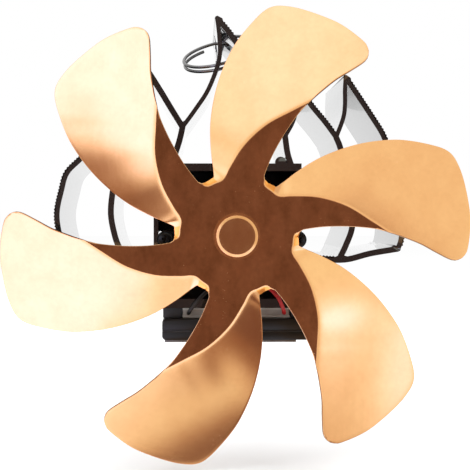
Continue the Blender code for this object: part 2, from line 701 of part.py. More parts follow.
def make_module(ceramic, core):
    """The thermoelectric module: two ceramic plates and the legs between them."""
    half = MODULE_SIDE / 2
    low_y, high_y = MODULE_FRONT_Y, MODULE_FRONT_Y + MODULE_SIDE
    bottom = BASE_THICKNESS + LAYER_FIT
    block("teg_hot_ceramic", (-half, low_y, bottom), (half, high_y, bottom + CERAMIC_THICKNESS), ceramic)
    inset = MODULE_CORE_INSET
    top = CORE_Z + MODULE_CORE_THICKNESS
    block("teg_core", (-half + inset, low_y + inset, CORE_Z), (half - inset, high_y - inset, top), core)
    bottom = top + LAYER_FIT
    block("teg_cold_ceramic", (-half, low_y, bottom), (half, high_y, bottom + CERAMIC_THICKNESS), ceramic)


def make_spacers(finish):
    """The two insulating spacers that the clamp screws pass through."""
    low_z, high_z = BASE_THICKNESS + LAYER_FIT, SINK_FLOOR_Z - LAYER_FIT
    low_y, high_y = MODULE_FRONT_Y, MODULE_FRONT_Y + MODULE_SIDE
    for side, sign in (("left", -1), ("right", 1)):
        ends = sorted((sign * SPACER_INNER_X, sign * SPACER_OUTER_X))
        name = f"insulating_spacer_{side}"
        spacer = block(name, (ends[0], low_y, low_z), (ends[1], high_y, high_z), finish)
        hole = rod_form(
            (sign * CLAMP_X, MODULE_CENTRE_Y, BASE_THICKNESS), CLAMP_SCREW_RADIUS + FIT, 4 * MODULE_GAP, "Z",
        )
        cut(spacer, f"spacer_hole_{side}", hole)


def make_bimetal(strip_finish, rivet_finish):
    """The overheat strip under the base on its pivot at the fixed end, and its rivet."""
    low_z = STRIP_TOP_Z - STRIP_THICKNESS
    pivot = add_pivot("bimetal_pivot", (-STRIP_LEFT_X, RIVET_Y, STRIP_TOP_Z))
    strip = block(
        "bimetal_strip", (-STRIP_LEFT_X, STRIP_FRONT_Y, low_z),
        (STRIP_RIGHT_X, STRIP_FRONT_Y + STRIP_WIDTH, STRIP_TOP_Z), strip_finish, pivot,
    )
    hole = rod_form((RIVET_X, RIVET_Y, STRIP_TOP_Z), RIVET_RADIUS + FIT, 4 * STRIP_THICKNESS, "Z")
    cut(strip, "strip_hole", hole)
    profile = [(0, low_z), (RIVET_RADIUS, low_z), (RIVET_RADIUS, RIVET_DEPTH), (0, RIVET_DEPTH)]
    turned(
        "bimetal_rivet", profile, (RIVET_X, RIVET_Y, 0), rivet_finish, sides=SMALL_SIDES, upright=True,
    )


def make_motor_plate(plate_finish, screw_finish):
    """The bracket that carries the motor in the mouth of the box, and its four screws."""
    centre = (AXIS_X, AXIS_Z)
    bosses = [Vector((BOSS_LEFT_X, BOSS_Z)), Vector((BOSS_RIGHT_X, BOSS_Z))]
    ear = BOSS_RADIUS - FIT
    outlines = [
        disc_outline(centre, PLATE_DISC_RADIUS, FINE_SIDES),
        plate_outline(bosses[0].x, BOSS_Z - ear, bosses[1].x, BOSS_Z + ear),
        disc_outline(bosses[0], ear), disc_outline(bosses[1], ear),
    ]
    holes = [disc_outline(centre, BUSH_RADIUS + FIT)]
    holes += [disc_outline(boss, BOSS_BORE + FIT) for boss in bosses]
    small = [Vector((AXIS_X, AXIS_Z + sign * MOTOR_SCREW_OFFSET)) for sign in (-1, 1)]
    holes += [disc_outline(place, MOTOR_SCREW_RADIUS + FIT) for place in small]
    extruded("motor_plate", outlines, PLATE_FRONT_Y, PLATE_BACK_Y, plate_finish, holes)
    for side, boss in zip(("left", "right"), bosses):
        seat = PLATE_FRONT_Y - FIT
        crown = seat - PLATE_SCREW_HEAD_HEIGHT
        tip = SINK_FRONT_Y + PLATE_SCREW_LENGTH
        shares = [(0.0, 1.0), (0.45, 0.96), (0.78, 0.78), (0.95, 0.45), (1.0, 0.0)]
        profile = [
            (PLATE_SCREW_HEAD_RADIUS * share, seat + (crown - seat) * rise) for share, rise in shares
        ]
        profile += [(BOSS_BORE, seat), (BOSS_BORE, tip), (0, tip)]
        turned(
            f"plate_screw_{side}", profile, (boss.x, 0, boss.y), screw_finish, sides=SMALL_SIDES,
        )
    for level, place in zip(("lower", "upper"), small):
        seat = PLATE_FRONT_Y - LAYER_FIT
        crown = seat - MOTOR_SCREW_HEAD_HEIGHT
        tip = seat + MOTOR_SCREW_LENGTH
        profile = [
            (0, crown), (MOTOR_SCREW_HEAD_RADIUS, crown), (MOTOR_SCREW_HEAD_RADIUS, seat),
            (MOTOR_SCREW_RADIUS, seat), (MOTOR_SCREW_RADIUS, tip), (0, tip),
        ]
        turned(
            f"motor_screw_{level}", profile, (place.x, 0, place.y), screw_finish, sides=SMALL_SIDES,
        )


def make_partition(finish):
    """The sheet across the box behind the motor, notched round the bosses."""
    outline = plate_outline(
        -BOX_LEFT + WALL_THICKNESS + PARTITION_PLAY, BOX_FLOOR_Z + FIT,
        BOX_RIGHT - WALL_THICKNESS - PARTITION_PLAY, AXIS_Z + ROOF_ABOVE_AXIS - FIT,
    )
    notches = [disc_outline((place, BOSS_Z), BOSS_RADIUS + FIT) for place in (BOSS_LEFT_X, BOSS_RIGHT_X)]
    front = PARTITION_BACK_Y - PARTITION_THICKNESS
    extruded("box_partition", [outline], front, PARTITION_BACK_Y, finish, notches)


def bush(name, front, finish):
    """A sintered bush round the motor shaft."""
    bore = SHAFT_RADIUS + SHAFT_FIT
    back = front + BUSH_LENGTH
    profile = [(bore, front), (BUSH_RADIUS, front), (BUSH_RADIUS, back), (bore, back)]
    turned(name, profile, (AXIS_X, 0, AXIS_Z), finish, sides=SMALL_SIDES)


def make_motor_case(steel, plastic, bronze, magnet):
    """Can, magnets, bushes and end cap of the motor."""
    inner = CAN_INNER_RADIUS
    hole = BUSH_RADIUS + LAYER_FIT
    profile = [
        (hole, CAN_FRONT_Y), (MOTOR_RADIUS - CAN_WALL, CAN_FRONT_Y), (MOTOR_RADIUS, CAN_FRONT_Y + CAN_WALL),
        (MOTOR_RADIUS, CAN_BACK_Y), (inner, CAN_BACK_Y), (inner, CAN_FRONT_Y + CAN_FRONT),
        (hole, CAN_FRONT_Y + CAN_FRONT),
    ]
    can = turned("motor_can", profile, (AXIS_X, 0, AXIS_Z), steel)
    for level, sign in (("lower", -1), ("upper", 1)):
        place = (AXIS_X, CAN_FRONT_Y, AXIS_Z + sign * MOTOR_SCREW_OFFSET)
        cut(can, f"can_hole_{level}", rod_form(place, MOTOR_SCREW_RADIUS + FIT, 4 * CAN_FRONT, "Y"))
    bush("front_bush", FRONT_BUSH_Y, bronze)
    bush("rear_bush", REAR_BUSH_BACK_Y - BUSH_LENGTH, bronze)
    centre = (AXIS_X, AXIS_Z)
    cap_holes = [disc_outline(centre, BUSH_RADIUS + LAYER_FIT)]
    for sign in (-1, 1):
        x = AXIS_X + sign * TERMINAL_X
        half_wide = TERMINAL_WIDTH / 2 + FIT
        half_thick = TERMINAL_THICKNESS / 2 + FIT
        cap_holes.append(
            plate_outline(x - half_wide, TERMINAL_Z - half_thick, x + half_wide, TERMINAL_Z + half_thick)
        )
    rim = [disc_outline(centre, inner - FIT, FINE_SIDES)]
    extruded("motor_end_cap", rim, END_CAP_FRONT_Y, CAN_BACK_Y, plastic, cap_holes)
    outer = inner - FIT
    for side, middle in (("left", math.pi), ("right", 0)):
        start, end = middle - MAGNET_HALF_ANGLE, middle + MAGNET_HALF_ANGLE
        outline = arc_points(centre, outer, start, end, SMALL_SIDES)
        outline += arc_points(centre, outer - MAGNET_THICKNESS, end, start, SMALL_SIDES)
        front = CAN_FRONT_Y + CAN_FRONT + FIT
        extruded(f"magnet_{side}", [outline], front, front + MAGNET_LENGTH, magnet)


def pole_outline(turn):
    """Neck and curved head of one armature pole."""
    head_low = ARMATURE_RADIUS - POLE_HEAD
    middle = turn + math.pi / 2
    head = arc_points((0, 0), ARMATURE_RADIUS, middle - POLE_HALF_ANGLE, middle + POLE_HALF_ANGLE, 12)
    head += arc_points((0, 0), head_low, middle + POLE_HALF_ANGLE, middle - POLE_HALF_ANGLE, 12)
    half = POLE_NECK / 2
    neck = plate_outline(-half, 0, half, head_low + POLE_HEAD / 2)
    around = Matrix.Rotation(turn, 2)
    neck = [around @ point for point in neck]
    return [[point + Vector((AXIS_X, AXIS_Z)) for point in shape] for shape in (head, neck)]


def make_armature(core_finish, copper, pivot):
    """The three-pole core with its windings, the commutator and the shaft."""
    turns = [2 * math.pi * index / 3 for index in range(3)]
    outlines = [disc_outline((AXIS_X, AXIS_Z), POLE_ROOT_RADIUS)]
    for turn in turns:
        outlines += pole_outline(turn)
    bore = [disc_outline((AXIS_X, AXIS_Z), SHAFT_RADIUS + SHAFT_FIT)]
    extruded("armature_core", outlines, ARMATURE_FRONT_Y, ARMATURE_BACK_Y, core_finish, bore, pivot)
    low = POLE_ROOT_RADIUS + POLE_NECK / 2
    hole = POLE_NECK / 2 + FIT
    wide = hole + WINDING_BULGE
    high = math.sqrt((ARMATURE_RADIUS - POLE_HEAD) ** 2 - wide ** 2) - FIT
    for number, turn in enumerate(turns, start=1):
        front, back = ARMATURE_FRONT_Y - FIT, ARMATURE_BACK_Y + FIT
        around = Matrix.Translation((AXIS_X, 0, AXIS_Z)) @ Matrix.Rotation(-turn, 4, "Y")
        form = box_form(
            (-wide, front - WINDING_BULGE / 2, low), (wide, back + WINDING_BULGE / 2, high),
        )
        form.transform(around)
        coil = finish_mesh(f"winding_{number}", form, copper, pivot)
        form = box_form((-hole, front, low - OVERRUN), (hole, back, high + OVERRUN))
        form.transform(around)
        cut(coil, f"winding_hole_{number}", form)
    bore = SHAFT_RADIUS + SHAFT_FIT
    front, back = COMMUTATOR_FRONT_Y, COMMUTATOR_BACK_Y
    profile = [(bore, front), (COMMUTATOR_RADIUS, front), (COMMUTATOR_RADIUS, back), (bore, back)]
    turned("commutator", profile, (AXIS_X, 0, AXIS_Z), copper, pivot, SMALL_SIDES)


def make_brushes(finish):
    """Two spring brushes and the terminals through the end cap."""
    face = COMMUTATOR_RADIUS + FIT
    middle_y = (COMMUTATOR_FRONT_Y + COMMUTATOR_BACK_Y) / 2
    low_y = middle_y - BRUSH_THICKNESS / 2
    high_y = middle_y + BRUSH_THICKNESS / 2
    foot_y = END_CAP_FRONT_Y - FIT
    half = BRUSH_WIDTH / 2
    for side, sign in (("left", -1), ("right", 1)):
        ends = sorted((AXIS_X + sign * face, AXIS_X + sign * BRUSH_REACH))
        form = box_form((ends[0], low_y, AXIS_Z - half), (ends[1], high_y, AXIS_Z + half))
        brush = finish_mesh(f"brush_{side}", form, finish)
        foot = (sign * (BRUSH_REACH - BRUSH_THICKNESS), sign * BRUSH_REACH)
        ends = sorted(AXIS_X + edge for edge in foot)
        form = box_form((ends[0], low_y, AXIS_Z - half), (ends[1], foot_y, AXIS_Z + half))
        join(brush, f"brush_foot_{side}", form)
    for name, sign in (("black", -1), ("red", 1)):
        x = AXIS_X + sign * TERMINAL_X
        half_wide, half_thick = TERMINAL_WIDTH / 2, TERMINAL_THICKNESS / 2
        block(
            f"terminal_{name}", (x - half_wide, END_CAP_FRONT_Y, TERMINAL_Z - half_thick),
            (x + half_wide, END_CAP_FRONT_Y + TERMINAL_LENGTH, TERMINAL_Z + half_thick), finish,
        )


def join(target, name, form):
    """Unite a form with an object by a Boolean."""
    guide = finish_mesh(name, form, target.data.materials[0], target.parent)
    guide.hide_render = True
    guide.display_type = "WIRE"
    change = target.modifiers.new(name, "BOOLEAN")
    change.operation = "UNION"
    change.solver = "EXACT"
    change.object = guide


def polar(share, sector):
    """Place on the blade sheet of a (radius share, degrees) pair in one of the sectors."""
    angle = math.radians(share[1]) + 2 * math.pi * sector / BLADE_COUNT
    radius = share[0] * ROTOR_RADIUS
    return Vector((radius * math.sin(angle), radius * math.cos(angle)))


def crease_path(sector):
    """The curved crease of one blade, run out straight past the blade's tip."""
    points = [polar(share, sector) for share in CREASE_SHARES]
    path = smooth_path(points, CURVE_STEPS)
    along = (path[-1] - path[-2]).normalized()
    path.append(path[-1] + along * (CREASE_RUN_OUT_SHARE * ROTOR_RADIUS))
    return path


def reach_past_crease(point, path):
    """How far a point of the sheet lies on the bent side of a crease."""
    best, side = None, 0
    for start, end in zip(path, path[1:]):
        along = end - start
        share = max(0, min(1, (point - start).dot(along) / along.length_squared))
        away = point - (start + along * share)
        gap = away.length
        if best is None or gap < best:
            best = gap
            side = along.x * away.y - along.y * away.x
    return best if side > 0 else 0


def sheet_outline():
    """The outer edge of the whole stamped sheet."""
    points = []
    for sector in range(BLADE_COUNT):
        for share in TRAILING_EDGE_SHARES + TIP_EDGE_SHARES + LEADING_EDGE_SHARES:
            points.append(polar(share, sector))
    looped = points[-1:] + points + points[:2]
    path = smooth_path(looped, BLADE_EDGE_STEPS)
    return path[BLADE_EDGE_STEPS:-2 * BLADE_EDGE_STEPS]


def sector_of(point):
    """The blade that a point of the sheet belongs to, told by the middle of the gap before it."""
    share = point.length / ROTOR_RADIUS
    gap = WEB_START_DEGREES
    if share > NOTCH_FLOOR_SHARE:
        outward = (share - NOTCH_FLOOR_SHARE) / (1 - NOTCH_FLOOR_SHARE)
        gap = GAP_ROOT_DEGREES + (GAP_TIP_DEGREES - GAP_ROOT_DEGREES) * outward
    angle = math.degrees(math.atan2(point.x, point.y))
    return int(((angle - gap) % 360) // (360 / BLADE_COUNT))


def bent_depth(point):
    """How far back a point of the sheet is pressed."""
    reach = reach_past_crease(point, crease_path(sector_of(point)))
    soft = CREASE_SOFTNESS
    return math.tan(BLADE_TILT) * (reach - soft * (1 - math.exp(-reach / soft)))


def make_blades(finish, pivot):
    """The stamped rotor: six blades bent back along their creases from one flat sheet."""
    edge = sheet_outline()
    bore = disc_outline((0, 0), SPIGOT_RADIUS + FIT)
    points = edge + bore
    edges = [(i, (i + 1) % len(edge)) for i in range(len(edge))]
    first = len(edge)
    edges += [(first + i, first + (i + 1) % len(bore)) for i in range(len(bore))]
    for sector in range(BLADE_COUNT):
        path = [spot for spot in crease_path(sector)[2:-1]]
        first = len(points)
        points += path
        edges += [(first + i, first + i + 1) for i in range(len(path) - 1)]
    steps = int(2 * ROTOR_RADIUS / SHEET_GRID)
    for row in range(-steps, steps + 1):
        for column in range(-steps, steps + 1):
            spot = Vector(((column + (row % 2) / 2) * SHEET_GRID, row * SHEET_GRID * math.sin(math.pi / 3)))
            clear = min((spot - other).length for other in points[:len(edge) + len(bore)])
            if clear > SHEET_GRID / 2 and inside(spot, edge):
                points.append(spot)
    corners, _, faces = delaunay_2d_cdt(points, edges, [], 1, WELD)[:3]
    form = bmesh.new()
    verts = {}
    for face in faces:
        middle = sum((corners[index] for index in face), Vector((0, 0))) / len(face)
        if not inside(middle, edge) or inside(middle, bore):
            continue
        for index in face:
            if index not in verts:
                spot = corners[index]
                place = (AXIS_X + spot.x, SHEET_FRONT_Y + bent_depth(spot), AXIS_Z + spot.y)
                verts[index] = form.verts.new(place)
        form.faces.new([verts[index] for index in face])
    bmesh.ops.recalc_face_normals(form, faces=form.faces)
    form.faces.ensure_lookup_table()
    if sum(face.normal.y for face in form.faces) > 0:
        bmesh.ops.reverse_faces(form, faces=form.faces)
    data = bpy.data.meshes.new("fan_blades")
    form.to_mesh(data)
    form.free()
    data.shade_smooth()
    blades = add_object("fan_blades", data, finish, pivot)
    sheet = blades.modifiers.new("sheet", "SOLIDIFY")
    sheet.thickness = SHEET_THICKNESS
    sheet.offset = -1
    sheet.use_even_offset = True
    return blades


def make_hub(boss_finish, cap_finish, shaft_finish, pivot):
    """Hub boss behind the sheet, cap in front of it and the motor shaft."""
    bore = SHAFT_RADIUS + SHAFT_FIT
    flange_back = HUB_FACE_Y + HUB_FLANGE_THICKNESS
    profile = [
        (bore, SPIGOT_FRONT_Y), (SPIGOT_RADIUS, SPIGOT_FRONT_Y), (SPIGOT_RADIUS, HUB_FACE_Y),
        (HUB_FLANGE_RADIUS, HUB_FACE_Y), (HUB_FLANGE_RADIUS, flange_back), (HUB_COLLAR_RADIUS, flange_back),
        (HUB_COLLAR_RADIUS, HUB_FACE_Y + HUB_COLLAR_LENGTH), (bore, HUB_FACE_Y + HUB_COLLAR_LENGTH),
    ]
    turned("hub_boss", profile, (AXIS_X, 0, AXIS_Z), boss_finish, pivot)
    inner = CAP_RADIUS - CAP_WALL
    rim = [
        (CAP_RADIUS - CAP_ROUNDING + CAP_ROUNDING * math.sin(angle),
         CAP_FRONT_Y + CAP_ROUNDING - CAP_ROUNDING * math.cos(angle))
        for angle in (math.pi / 2 * step / 4 for step in range(5))
    ]
    foot = CAP_BASE_RADIUS - CAP_RADIUS
    skirt = [
        (CAP_RADIUS + foot * (1 - math.cos(angle)), CAP_BACK_Y - foot * (1 - math.sin(angle)))
        for angle in (math.pi / 2 * step / 3 for step in range(4))
    ]
    profile = [(0, CAP_FRONT_Y)] + rim + skirt
    profile += [(inner, CAP_BACK_Y), (inner, CAP_FRONT_Y + CAP_WALL), (0, CAP_FRONT_Y + CAP_WALL)]
    turned("hub_cap", profile, (AXIS_X, 0, AXIS_Z), cap_finish, pivot)
    profile = [
        (0, SHAFT_FRONT_Y), (SHAFT_RADIUS, SHAFT_FRONT_Y), (SHAFT_RADIUS, SHAFT_BACK_Y), (0, SHAFT_BACK_Y),
    ]
    turned("motor_shaft", profile, (AXIS_X, 0, AXIS_Z), shaft_finish, pivot, SMALL_SIDES)


def tube(name, points, radius, finish, parent=None, resolution=1):
    """A round wire through the given points."""
    data = bpy.data.curves.new(name, "CURVE")
    data.dimensions = "3D"
    data.bevel_depth = radius
    data.bevel_resolution = resolution
    data.use_fill_caps = True
    line = data.splines.new("POLY")
    line.points.add(len(points) - 1)
    for target, place in zip(line.points, points):
        target.co = (*place, 1)
    return add_object(name, data, finish, parent)


def lead_route(shares, side):
    """A lead's route from the module's front edge to its motor terminal."""
    foot_z = BASE_THICKNESS + MODULE_GAP / 2
    reach = MODULE_SIDE / 2 - LEAD_INSET - TERMINAL_X
    return [
        Vector((
            side * (TERMINAL_X + across * reach) + (1 - across) * AXIS_X,
            SINK_FRONT_Y + back * MOTOR_LENGTH,
            foot_z + up * (TERMINAL_Z - foot_z),
        ))
        for across, back, up in shares
    ]


def make_leads(black, red):
    """The module's two leads to the motor."""
    leads = (("wire_black", LEAD_BLACK_SHARES, -1, black), ("wire_red", LEAD_RED_SHARES, 1, red))
    for name, shares, side, finish in leads:
        tube(name, smooth_path(lead_route(shares, side), 3), WIRE_RADIUS, finish)


def make_ring(finish):
    """The split ring: a wire wound nearly twice round, on a pivot along its slot's line."""
    frame = ring_frame()
    turn = frame.to_3x3().to_4x4()
    pivot = add_pivot("ring_pivot", frame.translation, turn)
    sides = RING_SIDES
    steps = int(sides * RING_TURNS)
    points = []
    for step in range(steps + 1):
        angle = math.pi - math.pi * RING_TURNS / 5 + 2 * math.pi * step / sides
        rise = RING_PITCH * (step / steps * RING_TURNS - RING_TURNS / 2)
        points.append(frame @ Vector((RING_RADIUS * math.cos(angle), RING_RADIUS * math.sin(angle), rise)))
    return tube("ring_handle", points, RING_WIRE_RADIUS, finish, pivot)


def main():
    """Build the whole fan."""
    clear_scene()
    anodised = material("black_anodised", (0.018, 0.018, 0.021), 0.6, 0.28)
    block_black = material("block_black", (0.012, 0.012, 0.014), 0.5, 0.35)
    gold = material("copper_gold_anodised", (0.86, 0.52, 0.26), 1.0, 0.24)
    ceramic = material("white_ceramic", (0.78, 0.78, 0.76), 0.0, 0.45)
    legs = material("module_legs", (0.45, 0.45, 0.44), 0.3, 0.6)
    insulator = material("insulating_board", (0.055, 0.055, 0.06), 0.0, 0.75)
    steel = material("bright_steel", (0.55, 0.55, 0.56), 1.0, 0.35)
    black_steel = material("black_steel", (0.012, 0.012, 0.013), 0.7, 0.3)
    bimetal = material("bimetal", (0.22, 0.21, 0.2), 0.9, 0.42)
    plastic = material("motor_plastic", (0.02, 0.02, 0.02), 0.0, 0.5)
    bronze = material("sintered_bronze", (0.5, 0.33, 0.16), 1.0, 0.5)
    ferrite = material("ferrite", (0.05, 0.05, 0.055), 0.1, 0.7)
    copper = material("copper_winding", (0.7, 0.32, 0.14), 1.0, 0.35)
    ring_steel = material("ring_steel", (0.19, 0.19, 0.2), 1.0, 0.3)
    black_pvc = material("black_insulation", (0.012, 0.012, 0.012), 0.0, 0.5)
    red_pvc = material("red_insulation", (0.62, 0.02, 0.02), 0.0, 0.45)

    make_heat_sink(anodised)
    make_base(block_black)
    make_clamp_screws(steel)
    make_module(ceramic, legs)
    make_spacers(insulator)
    make_bimetal(bimetal, steel)
    make_motor_plate(black_steel, black_steel)
    make_partition(black_steel)
    make_motor_case(steel, plastic, bronze, ferrite)
    make_brushes(bronze)
    spin = add_pivot("fan_pivot", (AXIS_X, SHEET_FRONT_Y, AXIS_Z))
    make_armature(steel, copper, spin)
    make_blades(gold, spin)
    make_hub(black_steel, gold, steel, spin)
    make_leads(black_pvc, red_pvc)
    make_ring(ring_steel)


main()
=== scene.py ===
"""Visual model of a heat-powered stove fan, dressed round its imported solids.

Metres, +Z up, the fan faces -Y and its hub turns on a line along Y through (AXIS_X, AXIS_Z).
"""

import logging
import math
from abc import ABC, abstractmethod
from contextlib import contextmanager
from dataclasses import dataclass
from enum import Enum
from typing import Any, Callable, Iterator, Sequence

import bpy
from mathutils import Matrix, Vector


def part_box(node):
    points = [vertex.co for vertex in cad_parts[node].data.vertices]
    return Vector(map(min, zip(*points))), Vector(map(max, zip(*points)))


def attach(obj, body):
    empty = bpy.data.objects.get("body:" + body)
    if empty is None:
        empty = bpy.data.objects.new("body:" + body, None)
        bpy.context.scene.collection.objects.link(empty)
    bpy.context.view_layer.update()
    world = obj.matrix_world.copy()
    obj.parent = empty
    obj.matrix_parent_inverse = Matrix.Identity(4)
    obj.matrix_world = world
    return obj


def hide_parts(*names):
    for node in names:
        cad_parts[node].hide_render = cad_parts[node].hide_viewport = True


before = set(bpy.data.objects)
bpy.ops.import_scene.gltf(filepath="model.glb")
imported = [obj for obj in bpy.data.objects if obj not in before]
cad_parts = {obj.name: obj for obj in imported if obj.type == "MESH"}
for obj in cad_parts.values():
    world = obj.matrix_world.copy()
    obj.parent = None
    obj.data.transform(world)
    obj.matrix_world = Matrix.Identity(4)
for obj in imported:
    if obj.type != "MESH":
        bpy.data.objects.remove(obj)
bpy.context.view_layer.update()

LOG = logging.getLogger("stove_fan")

Colour = tuple[float, float, float]
Point = tuple[float, float, float]
Pair = tuple[float, float]
Piece = bpy.types.Object

AXIS_X = -0.0008
AXIS_Z = 0.0387
SHEET_FRONT_Y = -0.0540
SINK_FRONT_Y = -0.0300
BLADE_COUNT = 6
WELD = 0.000001
FLAT_ANGLE = 0.5
SHARP_ANGLE = 40.0
WIRE_ANGLE = 50.0
END_FACING = 0.5
UPRIGHT = (math.pi / 2, 0.0, 0.0)
# the sheet's attribute that marks the notch webs for their painted reflection tone
NOTCH_REFLECTION_LAYER = "notch_reflection"


class Body(Enum):
    """The CAD bodies that a piece can ride on."""

    FRAME = "frame"
    ROTOR = "rotor"
    RING = "ring"
    STRIP = "overheat_strip"


class Socket:
    """A number in a shader, on which Python's operators add Math nodes."""

    def __init__(self, maker: "FinishMaker", link: Any) -> None:
        """Keep the maker whose tree the socket belongs to."""
        self.maker = maker
        self.link = link

    def _math(self, operation: str, first: Any, second: Any) -> "Socket":
        """One Math node on two values."""
        return self.maker.node("ShaderNodeMath", {"operation": operation}, {0: first, 1: second})

    def __add__(self, other: Any) -> "Socket":
        """Sum."""
        return self._math("ADD", self, other)

    def __radd__(self, other: Any) -> "Socket":
        """Sum with a number on the left."""
        return self._math("ADD", other, self)

    def __sub__(self, other: Any) -> "Socket":
        """Difference."""
        return self._math("SUBTRACT", self, other)

    def __rsub__(self, other: Any) -> "Socket":
        """Difference from a number on the left."""
        return self._math("SUBTRACT", other, self)

    def __mul__(self, other: Any) -> "Socket":
        """Product."""
        return self._math("MULTIPLY", self, other)

    def __rmul__(self, other: Any) -> "Socket":
        """Product with a number on the left."""
        return self._math("MULTIPLY", other, self)

    def between(self, low: float, high: float) -> "Socket":
        """Stretch the value so that low is nought and high is one, and hold it to that range.

        Args:
            low: what becomes nought.
            high: what becomes one.

        Returns:
            The new value.
        """
        return self.maker.node(
            "ShaderNodeMapRange", {"clamp": True}, {"Value": self, "From Min": low, "From Max": high}
        )


class FinishMaker:
    """Adds the nodes of one material, or of the world."""

    def __init__(self, owner: bpy.types.Material | bpy.types.World) -> None:
        """Turn the owner's nodes on and find a material's Principled shader.

        Args:
            owner: the new material or world.
        """
        owner.use_nodes = True
        self.owner = owner
        self.tree = owner.node_tree
        self.shader = self.tree.nodes.get("Principled BSDF")

    def node(
        self, kind: str, settings: dict[str, Any] | None = None,
        values: dict[str | int, Any] | None = None, output: str | int = 0,
    ) -> Socket:
        """Add a node.

        Args:
            kind: Blender's name of the node type.
            settings: the node's own options, set first; stops gives a colour ramp's places and colours.
            values: what each input socket takes, a plain value or a Socket.
            output: the socket that the answer comes from.

        Returns:
            The output, ready for further sums.
        """
        made = self.tree.nodes.new(kind)
        for name, value in (settings or {}).items():
            if name == "stops":
                self._set_stops(made, value)
            else:
                setattr(made, name, value)
        for name, value in (values or {}).items():
            self.feed(made.inputs[name], value)
        return Socket(self, made.outputs[output])

    @staticmethod
    def _set_stops(made: Any, stops: Sequence[tuple[float, Colour]]) -> None:
        """Give a colour ramp its stops.

        Args:
            made: the ramp's node.
            stops: places from nought to one, each with its colour.
        """
        elements = made.color_ramp.elements
        while len(elements) < len(stops):
            elements.new(0.5)
        for element, (place, colour) in zip(elements, stops):
            element.position = place
            element.color = (*colour, 1.0)

    def feed(self, target: Any, value: Any) -> None:
        """Link a Socket to an input, or set a plain value on it.

        Args:
            target: the input.
            value: the Socket or the plain value.
        """
        if isinstance(value, Socket):
            self.tree.links.new(value.link, target)
        else:
            target.default_value = value

    def set(self, **values: Any) -> None:
        """Set or link the Principled shader's inputs, with _ for each space in their names."""
        for name, value in values.items():
            self.feed(self.shader.inputs[name.replace("_", " ")], value)

    def place(self, stretch: Point = (1.0, 1.0, 1.0)) -> Socket:
        """Object coordinates, scaled along each axis."""
        where = self.node("ShaderNodeTexCoord", output="Object")
        return self.node("ShaderNodeMapping", None, {"Vector": where, "Scale": stretch})

    def part(self, vector: Socket, axis: int) -> Socket:
        """One of a vector's three parts, counted from nought."""
        return self.node("ShaderNodeSeparateXYZ", None, {0: vector}, axis)

    def noise(self, scale: float, stretch: Point = (1.0, 1.0, 1.0), detail: float = 3.0) -> Socket:
        """Fractal noise over Object coordinates.

        Args:
            scale: how fine it is.
            stretch: a factor for each axis; below one draws the noise out along it.
            detail: how many finer layers it has.

        Returns:
            A value from nought to one.
        """
        return self.node(
            "ShaderNodeTexNoise", {"noise_dimensions": "3D"},
            {"Vector": self.place(stretch), "Scale": scale, "Detail": detail},
        )

    def specks(self, scale: float, size: float, grouping: float, share: Pair) -> Socket:
        """Small scattered dots in groups: one at their middle, nought between them.

        Args:
            scale: how densely they lie, as a texture's scale.
            size: a dot's radius as a share of their spacing.
            grouping: scale of the noise that thins them out.
            share: the noise's levels where they start and where they are at full strength.

        Returns:
            Their strength.
        """
        distance = self.node(
            "ShaderNodeTexVoronoi", {"feature": "F1"}, {"Vector": self.place(), "Scale": scale}
        )
        return (1.0 - distance.between(0.0, size)) * self.noise(grouping, detail=1.0).between(*share)

    def mix(self, share: Any, first: Any, second: Any) -> Socket:
        """Two colours mixed.

        Args:
            share: how much of the second one there is.
            first: a colour or a Socket.
            second: a colour or a Socket.

        Returns:
            The mixed colour.
        """
        values = {
            0: share,
            6: (*first, 1.0) if isinstance(first, tuple) else first,
            7: (*second, 1.0) if isinstance(second, tuple) else second,
        }
        return self.node("ShaderNodeMix", {"data_type": "RGBA"}, values, 2)

    def bump(self, height: Socket, distance: float, strength: float = 1.0) -> Socket:
        """A normal raised by a height.

        Args:
            height: the height, from nought to one.
            distance: what a height of one means in metres.
            strength: how much of it shows.

        Returns:
            The normal.
        """
        return self.node(
            "ShaderNodeBump", None, {"Height": height, "Distance": distance, "Strength": strength}
        )


class Finish(ABC):
    """A surface finish that makes its material once and hands it out after that."""

    name: str
    _made: dict[str, bpy.types.Material] = {}

    def material(self) -> bpy.types.Material:
        """The finish's material.

        Returns:
            The one made before, or else a new one.
        """
        if self.name not in Finish._made:
            maker = FinishMaker(bpy.data.materials.new(self.name))
            self.paint(maker)
            Finish._made[self.name] = maker.owner
        return Finish._made[self.name]

    @abstractmethod
    def paint(self, maker: FinishMaker) -> None:
        """Add the finish's nodes."""


